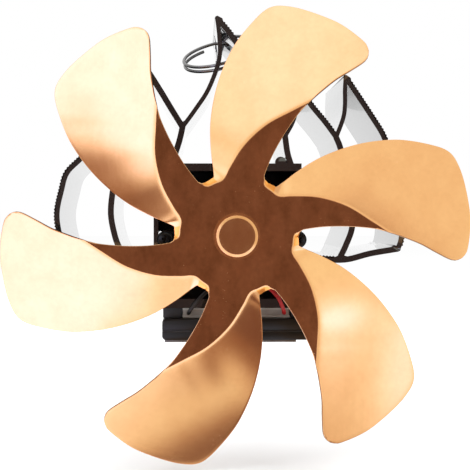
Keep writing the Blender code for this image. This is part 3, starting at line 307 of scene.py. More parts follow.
@dataclass(frozen=True)
class CopperGoldAluminium(Finish):
    """Copper-gold anodised sheet: rolling lines, a cloudy dye, specks, darker flat blotches, painted shade
    on its edges and a painted reflection tone in its notches.
    """

    name: str = "copper_gold_aluminium"
    colour: Colour = (0.95, 0.54, 0.26)
    deep: Colour = (0.88, 0.465, 0.213)
    # darker colour of the blotches on the faces that look straight ahead
    flat_blotches: Colour = (0.60, 0.31, 0.13)
    # painted shade: the colour that the sheet's edge faces turn
    edge_shade: Colour = (0.36, 0.19, 0.085)
    # painted reflection: the deeper orange of the notch webs
    notch_reflection: Colour = (0.93, 0.39, 0.095)
    roughness: float = 0.115
    rolling: Point = (1.0, 1.0, 0.035)
    cloud_scale: float = 120.0
    line_scale: float = 2600.0
    mottle_scale: float = 620.0
    bump_height: float = 0.000012
    flat_from: Pair = (0.990, 0.999)
    edge_below: Pair = (0.28, 0.58)

    def paint(self, maker: FinishMaker) -> None:
        """Add the finish's nodes.

        The flat hub and crescents face straight ahead and carry darker blotches; the sheet's edges face away
        from both sides and get painted shade; the notch webs, marked by the sheet's attribute, get a painted
        reflection tone.

        Args:
            maker: the material's maker.
        """
        lines = maker.noise(self.line_scale, self.rolling, 4.0)
        clouds = maker.noise(self.cloud_scale, detail=5.0)
        mottle = maker.noise(self.mottle_scale, detail=4.0)
        specks = maker.specks(900.0, 0.16, 160.0, (0.52, 0.66))
        patches = mottle.between(0.3, 0.7)
        tone = clouds.between(0.35, 0.65) * 0.5 + lines.between(0.3, 0.7) * 0.2 + patches * 0.3
        facing = maker.part(maker.node("ShaderNodeNewGeometry", output="Normal"), 1)
        blotches = maker.noise(190.0, (1.0, 1.0, 0.5), 6.0).between(0.40, 0.66) * 0.6 + patches * 0.4
        # darker blotches, only on the faces that look straight ahead
        flat_blotches = (0 - facing).between(*self.flat_from) * blotches
        sheet = maker.mix(flat_blotches, maker.mix(tone, self.deep, self.colour), self.flat_blotches)
        # painted shade: faces that look neither forward nor back, the sheet's edges, turn dark
        sheet = maker.mix(1 - (facing * facing).between(*self.edge_below), sheet, self.edge_shade)
        # painted reflection: the notch webs get a deeper orange
        notch_reflection_mask = maker.node("ShaderNodeAttribute", {"attribute_name": NOTCH_REFLECTION_LAYER}, output="Fac")
        relief = lines * 0.5 + specks * 0.5 + clouds * 0.3 + mottle * 0.4
        maker.set(
            Base_Color=maker.mix(notch_reflection_mask, sheet, self.notch_reflection),
            Metallic=1.0,
            Roughness=self.roughness + lines * 0.05 + clouds * 0.02 + specks * 0.25,
            Normal=maker.bump(relief, self.bump_height, 0.3),
            Coat_Weight=0.04,
            Coat_Roughness=0.1,
        )


@dataclass(frozen=True)
class SpunCap(Finish):
    """The same anodising on the pressed cap, with faint rings."""

    name: str = "copper_gold_cap"
    colour: Colour = (0.93, 0.52, 0.24)
    deep: Colour = (0.85, 0.445, 0.187)
    roughness: float = 0.19
    cloud_scale: float = 260.0
    ring_scale: float = 2400.0
    bump_height: float = 0.000015

    def paint(self, maker: FinishMaker) -> None:
        """Add the finish's nodes.

        Args:
            maker: the material's maker.
        """
        clouds = maker.noise(self.cloud_scale, detail=5.0)
        fine = maker.noise(self.ring_scale, (1.0, 1.0, 0.2), 3.0)
        specks = maker.specks(1200.0, 0.15, 300.0, (0.55, 0.7))
        maker.set(
            Base_Color=maker.mix(clouds.between(0.35, 0.65), self.deep, self.colour),
            Metallic=1.0,
            Roughness=self.roughness + fine * 0.06 + specks * 0.2,
            Normal=maker.bump(fine + specks, self.bump_height, 0.4),
            Coat_Weight=0.05,
        )


@dataclass(frozen=True)
class BlackAnodised(Finish):
    """Black anodised aluminium with the drawn lines of an extrusion or the marks of a mill."""

    name: str = "black_anodised_extrusion"
    colour: Colour = (0.027, 0.033, 0.035)
    worn: Colour = (0.044, 0.051, 0.054)
    roughness: float = 0.09
    grain: Point = (1.0, 0.03, 1.0)
    metallic: float = 0.75
    coat: float = 1.0
    ridges: float = 0.25
    coat_gloss: float = 1.8
    line_scale: float = 2200.0
    cloud_scale: float = 90.0
    bump_height: float = 0.00001
    light_band: Pair = (-1.0, -1.0)
    light_band_fade: float = 0.0001
    light_band_colour: Colour = (0.10, 0.10, 0.10)

    def paint(self, maker: FinishMaker) -> None:
        """Add the finish's nodes.

        Between the two heights of the band, where they are above nought, the lines turn a lighter grey.

        Args:
            maker: the material's maker.
        """
        lines = maker.noise(self.line_scale, self.grain, 4.0)
        clouds = maker.noise(self.cloud_scale, detail=4.0)
        dust = maker.specks(1500.0, 0.12, 220.0, (0.58, 0.7))
        tone = maker.mix(clouds.between(0.4, 0.75) * 0.7 + dust * 0.3, self.colour, self.worn)
        # a lighter grey band along the lines between two heights
        if self.light_band[1] > 0:
            height = maker.part(maker.place(), 2)
            low, high = self.light_band
            above = height.between(low, low + self.light_band_fade)
            beneath = 1 - height.between(high - self.light_band_fade, high)
            tone = maker.mix(above * beneath * lines.between(0.2, 0.6), tone, self.light_band_colour)
        maker.set(
            Base_Color=tone,
            Metallic=self.metallic,
            Roughness=self.roughness + lines * 0.06 + clouds * 0.05 + dust * 0.2,
            Normal=maker.bump(lines, self.bump_height, self.ridges),
            Coat_Weight=self.coat,
            Coat_Roughness=0.05,
            Coat_IOR=self.coat_gloss,
        )


@dataclass(frozen=True)
class Grained(Finish):
    """An even colour with patches of a second one, and a fine grain in its gloss and its relief."""

    name: str
    colour: Colour
    patch: Colour
    roughness: float
    grain: Point = (1.0, 1.0, 1.0)
    metallic: float = 0.0
    grain_scale: float = 2000.0
    grain_detail: float = 4.0
    patch_scale: float = 150.0
    patch_detail: float = 3.0
    patch_levels: Pair = (0.45, 0.8)
    grain_gloss: float = 0.12
    patch_gloss: float = 0.0
    bump_height: float = 0.00003
    bump_strength: float = 0.5

    def paint(self, maker: FinishMaker) -> None:
        """Add the finish's nodes.

        Args:
            maker: the material's maker.
        """
        grain = maker.noise(self.grain_scale, self.grain, self.grain_detail)
        patches = maker.noise(self.patch_scale, detail=self.patch_detail)
        maker.set(
            Base_Color=maker.mix(patches.between(*self.patch_levels), self.colour, self.patch),
            Metallic=self.metallic,
            Roughness=self.roughness + grain * self.grain_gloss + patches * self.patch_gloss,
            Normal=maker.bump(grain, self.bump_height, self.bump_strength),
        )


@dataclass(frozen=True)
class Ceramic(Grained):
    """Matt fired ceramic with a fine grain."""

    roughness: float = 0.42
    grain_scale: float = 1800.0
    grain_gloss: float = 0.15


@dataclass(frozen=True)
class Moulded(Grained):
    """Plastic, board, rubber or silicone with a fine texture."""

    grain_scale: float = 1500.0
    grain_detail: float = 3.0
    patch_scale: float = 140.0
    patch_levels: Pair = (0.4, 0.7)
    bump_height: float = 0.00004


@dataclass(frozen=True)
class Metal(Grained):
    """Steel, bronze or copper with lines along one axis and a little tarnish."""

    metallic: float = 1.0
    patch_scale: float = 260.0
    patch_detail: float = 4.0
    patch_levels: Pair = (0.5, 0.78)
    patch_gloss: float = 0.08
    bump_height: float = 0.00002
    bump_strength: float = 0.4


@dataclass(frozen=True)
class WoundCopper(Finish):
    """Enamelled copper wire laid side by side, with painted shade in the valleys between the turns."""

    name: str = "enamelled_copper"
    colour: Colour = (0.70, 0.32, 0.14)
    valley_shade: Colour = (0.20, 0.07, 0.03)
    wire: float = 0.00035
    bump_height: float = 0.0001

    def paint(self, maker: FinishMaker) -> None:
        """Add the finish's nodes.

        Args:
            maker: the material's maker.
        """
        rows = maker.node(
            "ShaderNodeTexWave", {"bands_direction": "Y", "wave_profile": "SIN"},
            {"Vector": maker.place(), "Scale": math.pi / (10.0 * self.wire), "Distortion": 0.4},
        )
        maker.set(
            # painted shade: the valleys between the turns are darker
            Base_Color=maker.mix(rows.between(0.05, 0.6), self.valley_shade, self.colour),
            Metallic=0.9,
            Roughness=0.28 + rows * 0.1,
            Normal=maker.bump(rows, self.bump_height, 0.8),
        )


BLACK_SINK = BlackAnodised()
BLACK_BLOCK = BlackAnodised(
    name="black_anodised_block", colour=(0.0075, 0.0070, 0.0060), worn=(0.013, 0.012, 0.011),
    roughness=0.34, grain=(0.03, 1.0, 1.0), metallic=0.3, coat=0.03, ridges=0.03,
    light_band=(0.0030, 0.0034),
)
GOLD_SHEET = CopperGoldAluminium()
GOLD_CAP = SpunCap()
ALUMINA = Ceramic("alumina", (0.78, 0.78, 0.76), (0.66, 0.65, 0.62))
MODULE_LEGS = Ceramic("module_legs", (0.45, 0.45, 0.44), (0.3, 0.3, 0.31))
SEAL = Moulded(
    "edge_sealant", (0.50, 0.47, 0.44), (0.629, 0.5915, 0.554), 0.48, grain_scale=600.0, bump_height=0.00008,
)
BOARD = Moulded("insulating_board", (0.055, 0.057, 0.066), (0.07825, 0.08095, 0.0931), 0.62)
END_CAP_PLASTIC = Moulded("end_cap_plastic", (0.020, 0.020, 0.020), (0.031, 0.031, 0.031), 0.42)
BLACK_SLEEVE = Moulded(
    "black_lead_sleeve", (0.004, 0.004, 0.004), (0.0094, 0.0094, 0.0094), 0.30, grain_scale=900.0,
)
RED_SLEEVE = Moulded(
    "red_lead_sleeve", (0.40, 0.006, 0.010), (0.452, 0.01072, 0.0152), 0.34, grain_scale=900.0,
)
FERRITE = Moulded("ferrite", (0.05, 0.05, 0.055), (0.0715, 0.0715, 0.07825), 0.66)
BRIGHT_STEEL = Metal("bright_steel", (0.55, 0.55, 0.56), (0.40, 0.39, 0.38), 0.26, (1.0, 0.04, 1.0))
LAMINATION = Metal("lamination_steel", (0.50, 0.50, 0.51), (0.34, 0.32, 0.30), 0.32, (0.1, 1.0, 0.1))
BLACK_STEEL = Metal("black_oxide_steel", (0.014, 0.014, 0.015), (0.030, 0.029, 0.028), 0.24, metallic=0.7)
BIMETAL = Metal("bimetal", (0.22, 0.21, 0.20), (0.13, 0.11, 0.10), 0.36, (0.04, 1.0, 1.0), 0.9)
BRONZE = Metal("sintered_bronze", (0.50, 0.33, 0.16), (0.30, 0.18, 0.09), 0.42)
RING_STEEL = Metal("dark_nickel_ring", (0.24, 0.235, 0.23), (0.13, 0.125, 0.12), 0.20)
COPPER_WIRE = WoundCopper()

FINISHED_NODES: Sequence[tuple[Finish, str]] = (
    (BLACK_SINK, "heat_sink"),
    (BLACK_BLOCK, "base_block"),
    (ALUMINA, "teg_hot_ceramic teg_cold_ceramic"),
    (MODULE_LEGS, "teg_core"),
    (BOARD, "insulating_spacer_left insulating_spacer_right"),
    (BIMETAL, "bimetal_strip"),
    (BRIGHT_STEEL, "clamp_screw_left clamp_screw_right bimetal_rivet motor_can motor_shaft"),
    (BLACK_STEEL, "motor_plate box_partition plate_screw_left plate_screw_right"),
    (BLACK_STEEL, "motor_screw_lower motor_screw_upper hub_boss"),
    (END_CAP_PLASTIC, "motor_end_cap"),
    (BRONZE, "front_bush rear_bush brush_left brush_right terminal_black terminal_red commutator"),
    (FERRITE, "magnet_left magnet_right"),
    (BLACK_SLEEVE, "wire_black"),
    (RED_SLEEVE, "wire_red"),
    (GOLD_SHEET, "fan_blades"),
    (GOLD_CAP, "hub_cap"),
    (LAMINATION, "armature_core"),
    (COPPER_WIRE, "winding_1 winding_2 winding_3"),
    (RING_STEEL, "ring_handle"),
)


def select_only(*chosen: Piece) -> None:
    """Leave object mode with these objects alone selected and the first one active.

    Args:
        chosen: the objects, or none to deselect all.
    """
    if bpy.context.object and bpy.context.object.mode != "OBJECT":
        bpy.ops.object.mode_set(mode="OBJECT")
    bpy.ops.object.select_all(action="DESELECT")
    for item in chosen:
        item.select_set(True)
    if chosen:
        bpy.context.view_layer.objects.active = chosen[0]


@contextmanager
def editing(piece: Piece) -> Iterator[None]:
    """Edit mode on one piece, with all of it selected at first, and object mode again afterwards.

    Args:
        piece: the mesh object.
    """
    select_only(piece)
    bpy.ops.object.mode_set(mode="EDIT")
    bpy.ops.mesh.select_all(action="SELECT")
    yield
    bpy.ops.object.mode_set(mode="OBJECT")


def pick(piece: Piece, kind: str, test: Callable[[Any], bool]) -> None:
    """Select a mesh's parts by a test, from edit mode and back into it.

    Args:
        piece: the object in edit mode.
        kind: VERT, EDGE or FACE.
        test: says of each vertex, edge or polygon whether it is wanted.
    """
    bpy.ops.mesh.select_mode(type=kind)
    bpy.ops.mesh.select_all(action="DESELECT")
    bpy.ops.object.mode_set(mode="OBJECT")
    parts = {"VERT": piece.data.vertices, "EDGE": piece.data.edges, "FACE": piece.data.polygons}[kind]
    for part in parts:
        part.select = test(part)
    bpy.ops.object.mode_set(mode="EDIT")


def fix_place(piece: Piece) -> None:
    """Move a piece's place, turn and size into its mesh."""
    select_only(piece)
    bpy.ops.object.transform_apply(location=True, rotation=True, scale=True)


def primitive(operator: Callable[..., Any], **settings: Any) -> Piece:
    """Add a mesh primitive with nothing else selected, its place moved into its mesh.

    Args:
        operator: Blender's operator that adds it.
        settings: what the operator takes.

    Returns:
        The new object.
    """
    select_only()
    operator(**settings)
    piece = bpy.context.object
    fix_place(piece)
    return piece


def apply_modifier(piece: Piece, kind: str, **settings: Any) -> None:
    """Add a modifier and apply it.

    Args:
        piece: the object.
        kind: Blender's name of the modifier type.
        settings: the modifier's options.
    """
    select_only(piece)
    change = piece.modifiers.new(kind.lower(), kind)
    for key, value in settings.items():
        setattr(change, key, value)
    bpy.ops.object.modifier_apply(modifier=change.name)


def cut(piece: Piece, other: Piece, operation: str) -> None:
    """Unite a piece with another or take the other from it, and remove the other."""
    apply_modifier(piece, "BOOLEAN", operation=operation, solver="EXACT", object=other)
    bpy.data.objects.remove(other)


def shade(piece: Piece, angle: float = SHARP_ANGLE) -> None:
    """Shade smooth except over edges sharper than so many degrees."""
    select_only(piece)
    bpy.ops.object.shade_smooth_by_angle(angle=math.radians(angle))


def soften(piece: Piece, width: float, segments: int = 2, angle: float = SHARP_ANGLE) -> None:
    """Round the sharp edges of a piece and shade it smooth between what is still sharp.

    Args:
        piece: the object.
        width: how far the rounding reaches.
        segments: faces across the rounding.
        angle: degrees past which an edge is sharp.
    """
    apply_modifier(
        piece, "BEVEL", width=width, segments=segments, limit_method="ANGLE",
        angle_limit=math.radians(angle), use_clamp_overlap=True, miter_outer="MITER_ARC",
    )
    shade(piece)


def settle(
    piece: Piece, name: str, finish: Finish, body: Body, replaced: Sequence[str] = (),
) -> Piece:
    """Name a finished piece, give it its material and hang it on its body.

    Args:
        piece: the object, its place in its mesh or still in its matrix.
        name: what the piece is called.
        finish: its surface.
        body: the CAD body that it rides on.
        replaced: the CAD nodes that it stands for.

    Returns:
        The piece.
    """
    fix_place(piece)
    piece.name = name
    piece.data.name = name
    piece.data.materials.clear()
    piece.data.materials.append(finish.material())
    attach(piece, body.value)
    if replaced:
        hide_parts(*replaced)
    return piece


def node_copy(node: str, keep_ends: bool = False) -> Piece:
    """A merged copy of a CAD node, with its flat faces joined up.

    Args:
        node: the node's name.
        keep_ends: leave the faces that look along Y as they are.

    Returns:
        The copy.
    """
    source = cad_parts[node]
    piece = bpy.data.objects.new(node + "_copy", source.data.copy())
    bpy.context.scene.collection.objects.link(piece)
    with editing(piece):
        bpy.ops.mesh.remove_doubles(threshold=WELD)
        pick(piece, "FACE", lambda part: not keep_ends or abs(part.normal.y) < END_FACING)
        bpy.ops.mesh.dissolve_limited(angle_limit=math.radians(FLAT_ANGLE), delimit={"NORMAL"})
    if piece.data.has_custom_normals:
        bpy.ops.mesh.customdata_custom_splitnormals_clear()
    return piece


def dressed_copy(node: str, name: str, finish: Finish, body: Body, slot: str, edge: float) -> Piece:
    """A CAD node's copy with its edges broken, in the node's stead.

    Args:
        node: the node's name.
        name: what the piece is called.
        finish: its surface.
        body: the CAD body that it rides on.
        slot: a material slot's name, not used.
        edge: how far the broken edges reach.

    Returns:
        The piece.
    """
    piece = node_copy(node)
    soften(piece, edge)
    return settle(piece, name, finish, body, [node])


def lathe(profile: Sequence[Pair], x: float, z: float, sides: int) -> Piece:
    """Turn a chain of (radius, y) about a line along Y, from a circle that is extruded step by step.

    Args:
        profile: the chain, from the first circle to the last, with no radius of nought.
        x: where the line passes.
        z: where the line passes.
        sides: faces round.

    Returns:
        The closed piece.
    """
    radius, y = profile[0]
    piece = primitive(
        bpy.ops.mesh.primitive_circle_add, vertices=sides, radius=radius, location=(x, y, z),
        rotation=UPRIGHT, fill_type="NGON",
    )
    with editing(piece):
        for wide, along in profile[1:]:
            bpy.ops.mesh.extrude_region_move(TRANSFORM_OT_translate={"value": (0.0, along - y, 0.0)})
            share = wide / radius
            bpy.ops.transform.resize(value=(share, 1.0, share), center_override=(x, along, z))
            radius, y = wide, along
        bpy.ops.mesh.select_all(action="SELECT")
        bpy.ops.mesh.remove_doubles(threshold=WELD)
        bpy.ops.mesh.normals_make_consistent(inside=False)
    return piece


def smooth_path(points: Sequence[Vector], steps: int) -> list[Vector]:
    """A Catmull-Rom curve through the given points.

    Args:
        points: what it passes through.
        steps: points from each of them to the next.

    Returns:
        The curve's points.
    """
    ends = [2 * points[0] - points[1]] + list(points) + [2 * points[-1] - points[-2]]
    path = []
    for index in range(1, len(ends) - 2):
        before, start, end, after = ends[index - 1:index + 3]
        for step in range(steps):
            t = step / steps
            path.append(
                start
                + (end - before) * (t / 2)
                + (2 * before - 5 * start + 4 * end - after) * (t * t / 2)
                + (3 * start - before - 3 * end + after) * (t * t * t / 2)
            )
    path.append(points[-1].copy())
    return path


def spread(path: Sequence[Vector], count: int) -> list[Vector]:
    """A path's points put at an even spacing.

    Args:
        path: the path.
        count: how many steps it is to have.

    Returns:
        The new points, one more than the steps.
    """
    lengths = [0.0]
    for start, end in zip(path, path[1:]):
        lengths.append(lengths[-1] + (end - start).length)
    spots = []
    index = 0
    for step in range(count + 1):
        target = lengths[-1] * step / count
        while index < len(path) - 2 and lengths[index + 1] < target:
            index += 1
        span = max(lengths[index + 1] - lengths[index], WELD)
        spots.append(path[index].lerp(path[index + 1], (target - lengths[index]) / span))
    return spots


def round_wire(points: Sequence[Vector], radius: float, resolution: int) -> Piece:
    """A round wire through points, made from a curve and turned into a mesh.

    Args:
        points: its middle line.
        radius: half its thickness.
        resolution: the curve's bevel resolution.

    Returns:
        The closed piece.
    """
    select_only()
    bpy.ops.curve.primitive_bezier_curve_add()
    line = bpy.context.object
    line.data.splines.clear()
    spline = line.data.splines.new("POLY")
    spline.points.add(len(points) - 1)
    for target, place in zip(spline.points, points):
        target.co = (*place, 1.0)
    line.data.bevel_depth = radius
    line.data.bevel_resolution = resolution
    line.data.use_fill_caps = True
    select_only(line)
    bpy.ops.object.convert(target="MESH")
    piece = bpy.context.object
    with editing(piece):
        bpy.ops.mesh.remove_doubles(threshold=WELD)
        bpy.ops.mesh.normals_make_consistent(inside=False)
    shade(piece, WIRE_ANGLE)
    return piece


def off_axis(spot: Vector, x: float, z: float) -> float:
    """Distance from a line along Y."""
    return math.hypot(spot.x - x, spot.z - z)


@dataclass
class FanSheet:
    """The stamped sheet with six blades, each pressed back along its curved crease.

    Edges and crease are pairs of a share of the rotor's radius and degrees clockwise from the blade's
    own line. The bent side of a blade is ruled from the crease to the edge, so that it shades evenly:
    matches says which point of the crease goes with which of the edge, and the rows up to there.
    """

    radius: float = 0.08499
    thickness: float = 0.0010
    tilt: float = math.radians(20)
    curl: float = 3.7
    softness: float = 0.0006
    bore: float = 0.0033
    edge_round: float = 0.00022
    crease: Sequence[Pair] = (
        (0.2680, -34.6), (0.2480, -34.4), (0.2340, -32.4), (0.2290, -28.5), (0.2286, -22.0),
        (0.2310, -14.5), (0.2470, -9.5), (0.2850, -4.1), (0.3740, 5.6), (0.4700, 15.3), (0.5604, 24.2),
        (0.6160, 28.25),
    )
    edge: Sequence[Pair] = (
        (0.2680, -34.6), (0.2585, -32.0), (0.2565, -27.5), (0.2600, -23.0), (0.2690, -20.6),
        (0.3660, -16.9), (0.4680, -13.5), (0.5720, -9.6), (0.6770, -5.6), (0.7820, -1.4), (0.8530, 1.8),
        (0.9240, 5.2), (0.9670, 7.4), (0.9900, 9.4), (0.9990, 12.0), (1.0000, 16.0), (0.9940, 22.0),
        (0.9870, 27.0), (0.9660, 33.0), (0.9490, 35.0), (0.9270, 36.0), (0.8930, 36.2), (0.8260, 34.5),
        (0.7600, 32.3), (0.6700, 29.7), (0.6160, 28.25),
    )
    inner_edge: Sequence[Pair] = (
        (0.6160, 28.25), (0.5600, 26.8), (0.4610, 25.1), (0.3620, 24.0), (0.2820, 24.4), (0.2680, 25.4),
    )
    matches: Sequence[tuple[int, int, int]] = (
        (0, 0, 0), (3, 2, 6), (5, 4, 8), (6, 5, 8), (7, 6, 8), (8, 8, 12), (9, 11, 16), (10, 15, 18),
        (11, 20, 22),
    )
    notch_rows: int = 12
    side_rows: int = 34
    columns: int = 34
    column_power: float = 1.7
    seam_weld: float = 0.00002
    sliver: float = 0.00001
    corner_reach: float = 0.0030
    corner_weld: float = 0.00030
    smooth_steps: int = 12
    bore_sides: int = 48
    leading_steps: int = 8
    rounded_past: float = math.radians(50)

    def spot(self, share: Pair, sector: int = 0) -> Vector:
        """Place on the flat sheet of a pair of radius share and degrees.

        Args:
            share: the pair.
            sector: the blade from whose own line the degrees count.

        Returns:
            The place, across and up from the hub.
        """
        angle = math.radians(share[1]) + 2 * math.pi * sector / BLADE_COUNT
        reach = share[0] * self.radius
        return Vector((reach * math.sin(angle), reach * math.cos(angle)))

    def path(self, shares: Sequence[Pair]) -> list[Vector]:
        """Smooth line through pairs."""
        return smooth_path([self.spot(share) for share in shares], self.smooth_steps)

    def depth(self, point: Vector, crease: Sequence[Vector]) -> float:
        """How far back a point beyond the crease is pressed: sharply at first, then with a slight curl.

        Args:
            point: a place on the flat sheet.
            crease: the crease's points.

        Returns:
            The depth.
        """
        reach = min(self._gap(point, start, end) for start, end in zip(crease, crease[1:]))
        eased = reach - self.softness * (1 - math.exp(-reach / self.softness))
        return math.tan(self.tilt) * eased + self.curl * reach * reach / 2

    @staticmethod
    def _gap(point: Vector, start: Vector, end: Vector) -> float:
        """Distance of a point from a stretch of line.

        Args:
            point: the point.
            start: one end of the stretch.
            end: its other end.

        Returns:
            The distance.
        """
        along = end - start
        share = max(0.0, min(1.0, (point - start).dot(along) / max(along.length_squared, WELD * WELD)))
        return (point - (start + along * share)).length

    def _rulings(self) -> tuple[list[Vector], list[Vector]]:
        """Match points along the crease with points along the edge.

        Returns:
            Those on the crease and those on the edge.
        """
        crease, edge = self.path(self.crease), self.path(self.edge)
        near, far = [], []
        for (first, start, _), (last, end, count) in zip(self.matches, self.matches[1:]):
            steps = self.smooth_steps
            inner = spread(crease[first * steps:last * steps + 1], count)
            outer = spread(edge[start * steps:end * steps + 1], count)
            near += inner[:-1]
            far += outer[:-1]
        return near + [crease[-1]], far + [edge[self.matches[-1][1] * self.smooth_steps]]

    def _bent_side(self) -> tuple[Piece, list[Vector]]:
        """The pressed-back part of one blade, from a grid whose rows are its rulings.

        The last rows lean over to the leading edge, which is hollow, so that none of them crosses it.

        Returns:
            The part, and its points along the crease.
        """
        near, far = self._rulings()
        crease = near + [near[-1] + (near[-1] - near[-2]).normalized() * self.radius]
        leading = self.path(self.edge)[self.matches[-1][1] * self.smooth_steps:]
        leading = spread(leading[::-1], self.columns * self.leading_steps)
        rows, columns = len(near), self.columns + 1
        piece = primitive(
            bpy.ops.mesh.primitive_grid_add, x_subdivisions=self.columns, y_subdivisions=rows - 1, size=1.0,
        )
        places, notch_reflection = [], []
        for row, (start, end) in enumerate(zip(near, far)):
            lean = max(0.0, 1 - (rows - 1 - row) / self.side_rows) ** 2
            for column in range(columns):
                share = (column / self.columns) ** self.column_power
                spot = start.lerp(end, share)
                side = leading[round(share * (len(leading) - 1))] - near[-1].lerp(far[-1], share)
                spot = spot + side * lean
                back = self.depth(spot, crease) if column else 0.0
                places += [AXIS_X + spot.x, SHEET_FRONT_Y + back, AXIS_Z + spot.y]
                # mark the notch webs for their painted reflection tone
                notch_reflection.append(1.0 if row < self.notch_rows and back > WELD else 0.0)
        piece.data.vertices.foreach_set("co", places)
        layer = piece.data.attributes.new(NOTCH_REFLECTION_LAYER, "FLOAT", "POINT")
        layer.data.foreach_set("value", notch_reflection)
        return piece, near

    def _flat_part(self, near: Sequence[Vector]) -> Piece:
        """The part left flat: hub and crescents, with the bore for the boss.

        Args:
            near: one blade's points along its crease.

        Returns:
            The part.
        """
        loop = []
        inner = self.path(self.inner_edge)
        for sector in range(BLADE_COUNT):
            turn = Matrix.Rotation(-2 * math.pi * sector / BLADE_COUNT, 2)
            loop += [turn @ spot for spot in list(near[:-1]) + inner[:-1]]
        piece = primitive(bpy.ops.mesh.primitive_circle_add, vertices=len(loop), radius=self.radius)
        places = [part for spot in loop for part in (AXIS_X + spot.x, SHEET_FRONT_Y, AXIS_Z + spot.y)]
        piece.data.vertices.foreach_set("co", places)
        hole = primitive(
            bpy.ops.mesh.primitive_circle_add, vertices=self.bore_sides, radius=self.bore,
            location=(AXIS_X, SHEET_FRONT_Y, AXIS_Z), rotation=UPRIGHT,
        )
        select_only(piece, hole)
        bpy.ops.object.join()
        with editing(piece):
            bpy.ops.mesh.fill(use_beauty=True)
        return piece

    def _joined(self) -> Piece:
        """The whole sheet without its thickness.

        Returns:
            The open sheet, facing forward.
        """
        bent, near = self._bent_side()
        parts = [self._flat_part(near), bent]
        centre = Vector((AXIS_X, 0.0, AXIS_Z))
        for sector in range(1, BLADE_COUNT):
            other = bpy.data.objects.new(f"blade_{sector}", bent.data.copy())
            bpy.context.scene.collection.objects.link(other)
            turn = Matrix.Rotation(2 * math.pi * sector / BLADE_COUNT, 4, "Y")
            other.data.transform(Matrix.Translation(centre) @ turn @ Matrix.Translation(-centre))
            parts.append(other)
        select_only(*parts)
        bpy.ops.object.join()
        piece = bpy.context.object
        notches = [self.spot(self.crease[0], sector) for sector in range(BLADE_COUNT)]
        corners = [Vector((AXIS_X + spot.x, SHEET_FRONT_Y, AXIS_Z + spot.y)) for spot in notches]

        def is_near_corner(part: Any) -> bool:
            """Whether a vertex lies by the corner of a notch."""
            return min((part.co - corner).length for corner in corners) < self.corner_reach

        with editing(piece):
            bpy.ops.mesh.remove_doubles(threshold=self.seam_weld)
            pick(piece, "VERT", is_near_corner)
            bpy.ops.mesh.remove_doubles(threshold=self.corner_weld)
            bpy.ops.mesh.select_all(action="SELECT")
            bpy.ops.mesh.dissolve_degenerate(threshold=self.sliver)
            bpy.ops.mesh.normals_make_consistent(inside=False)
        if sum(face.normal.y * face.area for face in piece.data.polygons) > 0:
            with editing(piece):
                bpy.ops.mesh.flip_normals()
        return piece

    def build(self) -> list[Piece]:
        """Make the sheet.

        Returns:
            The finished piece.
        """
        piece = self._joined()
        apply_modifier(
            piece, "SOLIDIFY", thickness=self.thickness, offset=-1.0, use_even_offset=False,
        )
        apply_modifier(
            piece, "BEVEL", width=self.edge_round, segments=2, limit_method="ANGLE",
            angle_limit=self.rounded_past, use_clamp_overlap=False,
        )
        shade(piece)
        apply_modifier(piece, "WEIGHTED_NORMAL", weight=100, keep_sharp=True)
        # keep the painted reflection tone of the notch webs off the sheet's front face
        for vertex, mark in zip(piece.data.vertices, piece.data.attributes[NOTCH_REFLECTION_LAYER].data):
            if vertex.co.y < SHEET_FRONT_Y + self.edge_round / 2:
                mark.value = 0.0
        return [settle(piece, "blade_sheet", GOLD_SHEET, Body.ROTOR, ["fan_blades"])]


@dataclass
class HubCap:
    """The round pressed cap over the hub, with a rolled top edge and a flared foot."""

    radius: float = 0.0072
    foot_radius: float = 0.0082
    back_y: float = SHEET_FRONT_Y - 0.0003
    height: float = 0.0048
    face_radius: float = 0.00635
    slope: float = math.radians(19)
    corner: float = 0.00012
    wall: float = 0.0011
    foot_height: float = 0.00025
    steps: int = 6
    ease: float = 0.00025
    pole: float = 0.0004
    sides: int = 96
    sharp_angle: float = 34.0

    def build(self) -> list[Piece]:
        """Make the cap.

        Returns:
            The finished piece.
        """
        front = self.back_y - self.height
        fall = math.tan(self.slope)
        shoulder = self.radius - self.corner
        last = front + (shoulder - self.face_radius + self.ease / 3) * fall
        rim = [
            (self.face_radius - self.ease, front), (self.face_radius, front + self.ease * fall / 3),
            (shoulder, last),
        ]
        for step in range(1, self.steps + 1):
            turn = math.pi / 2 * step / self.steps
            rim.append((
                self.radius - self.corner * (1 - math.sin(turn)), last + self.corner * (1 - math.cos(turn)),
            ))
        foot_y = self.back_y - self.foot_height
        foot = [(self.radius, foot_y), (self.foot_radius, foot_y), (self.foot_radius, self.back_y)]
        inner = self.radius - self.wall
        profile = [
            (self.pole, front), *rim, *foot, (inner, self.back_y), (inner, front + self.wall),
            (self.pole, front + self.wall),
        ]
        piece = lathe(profile, AXIS_X, AXIS_Z, self.sides)
        shade(piece, self.sharp_angle)
        return [settle(piece, "hub_cap_pressed", GOLD_CAP, Body.ROTOR, ["hub_cap"])]


@dataclass
class SplitRing:
    """The split ring: a wire wound nearly twice round, slanted in its slot in the flame's tip."""

    centre: Point = (-0.0059, -0.0130, 0.1077)
    radius: float = 0.0140
    wire: float = 0.0006
    pitch: float = 0.0018
    turns: float = 1.9
    tilt: float = math.radians(25.8)
    roll: float = math.radians(15)
    start: float = math.radians(111.6)
    sides: int = 72
    resolution: int = 5

    def build(self) -> list[Piece]:
        """Make the ring.

        Returns:
            The finished piece.
        """
        slant = Matrix.Rotation(-self.roll, 4, "Y") @ Matrix.Rotation(self.tilt, 4, "X")
        place = Matrix.Translation(self.centre) @ slant
        steps = int(self.sides * self.turns)
        points = []
        for step in range(steps + 1):
            angle = self.start + 2 * math.pi * step / self.sides
            rise = self.pitch * self.turns * (step / steps - 0.5)
            points.append(
                place @ Vector((self.radius * math.cos(angle), self.radius * math.sin(angle), rise))
            )
        piece = round_wire(points, self.wire, self.resolution)
        return [settle(piece, "split_ring", RING_STEEL, Body.RING, ["ring_handle"])]


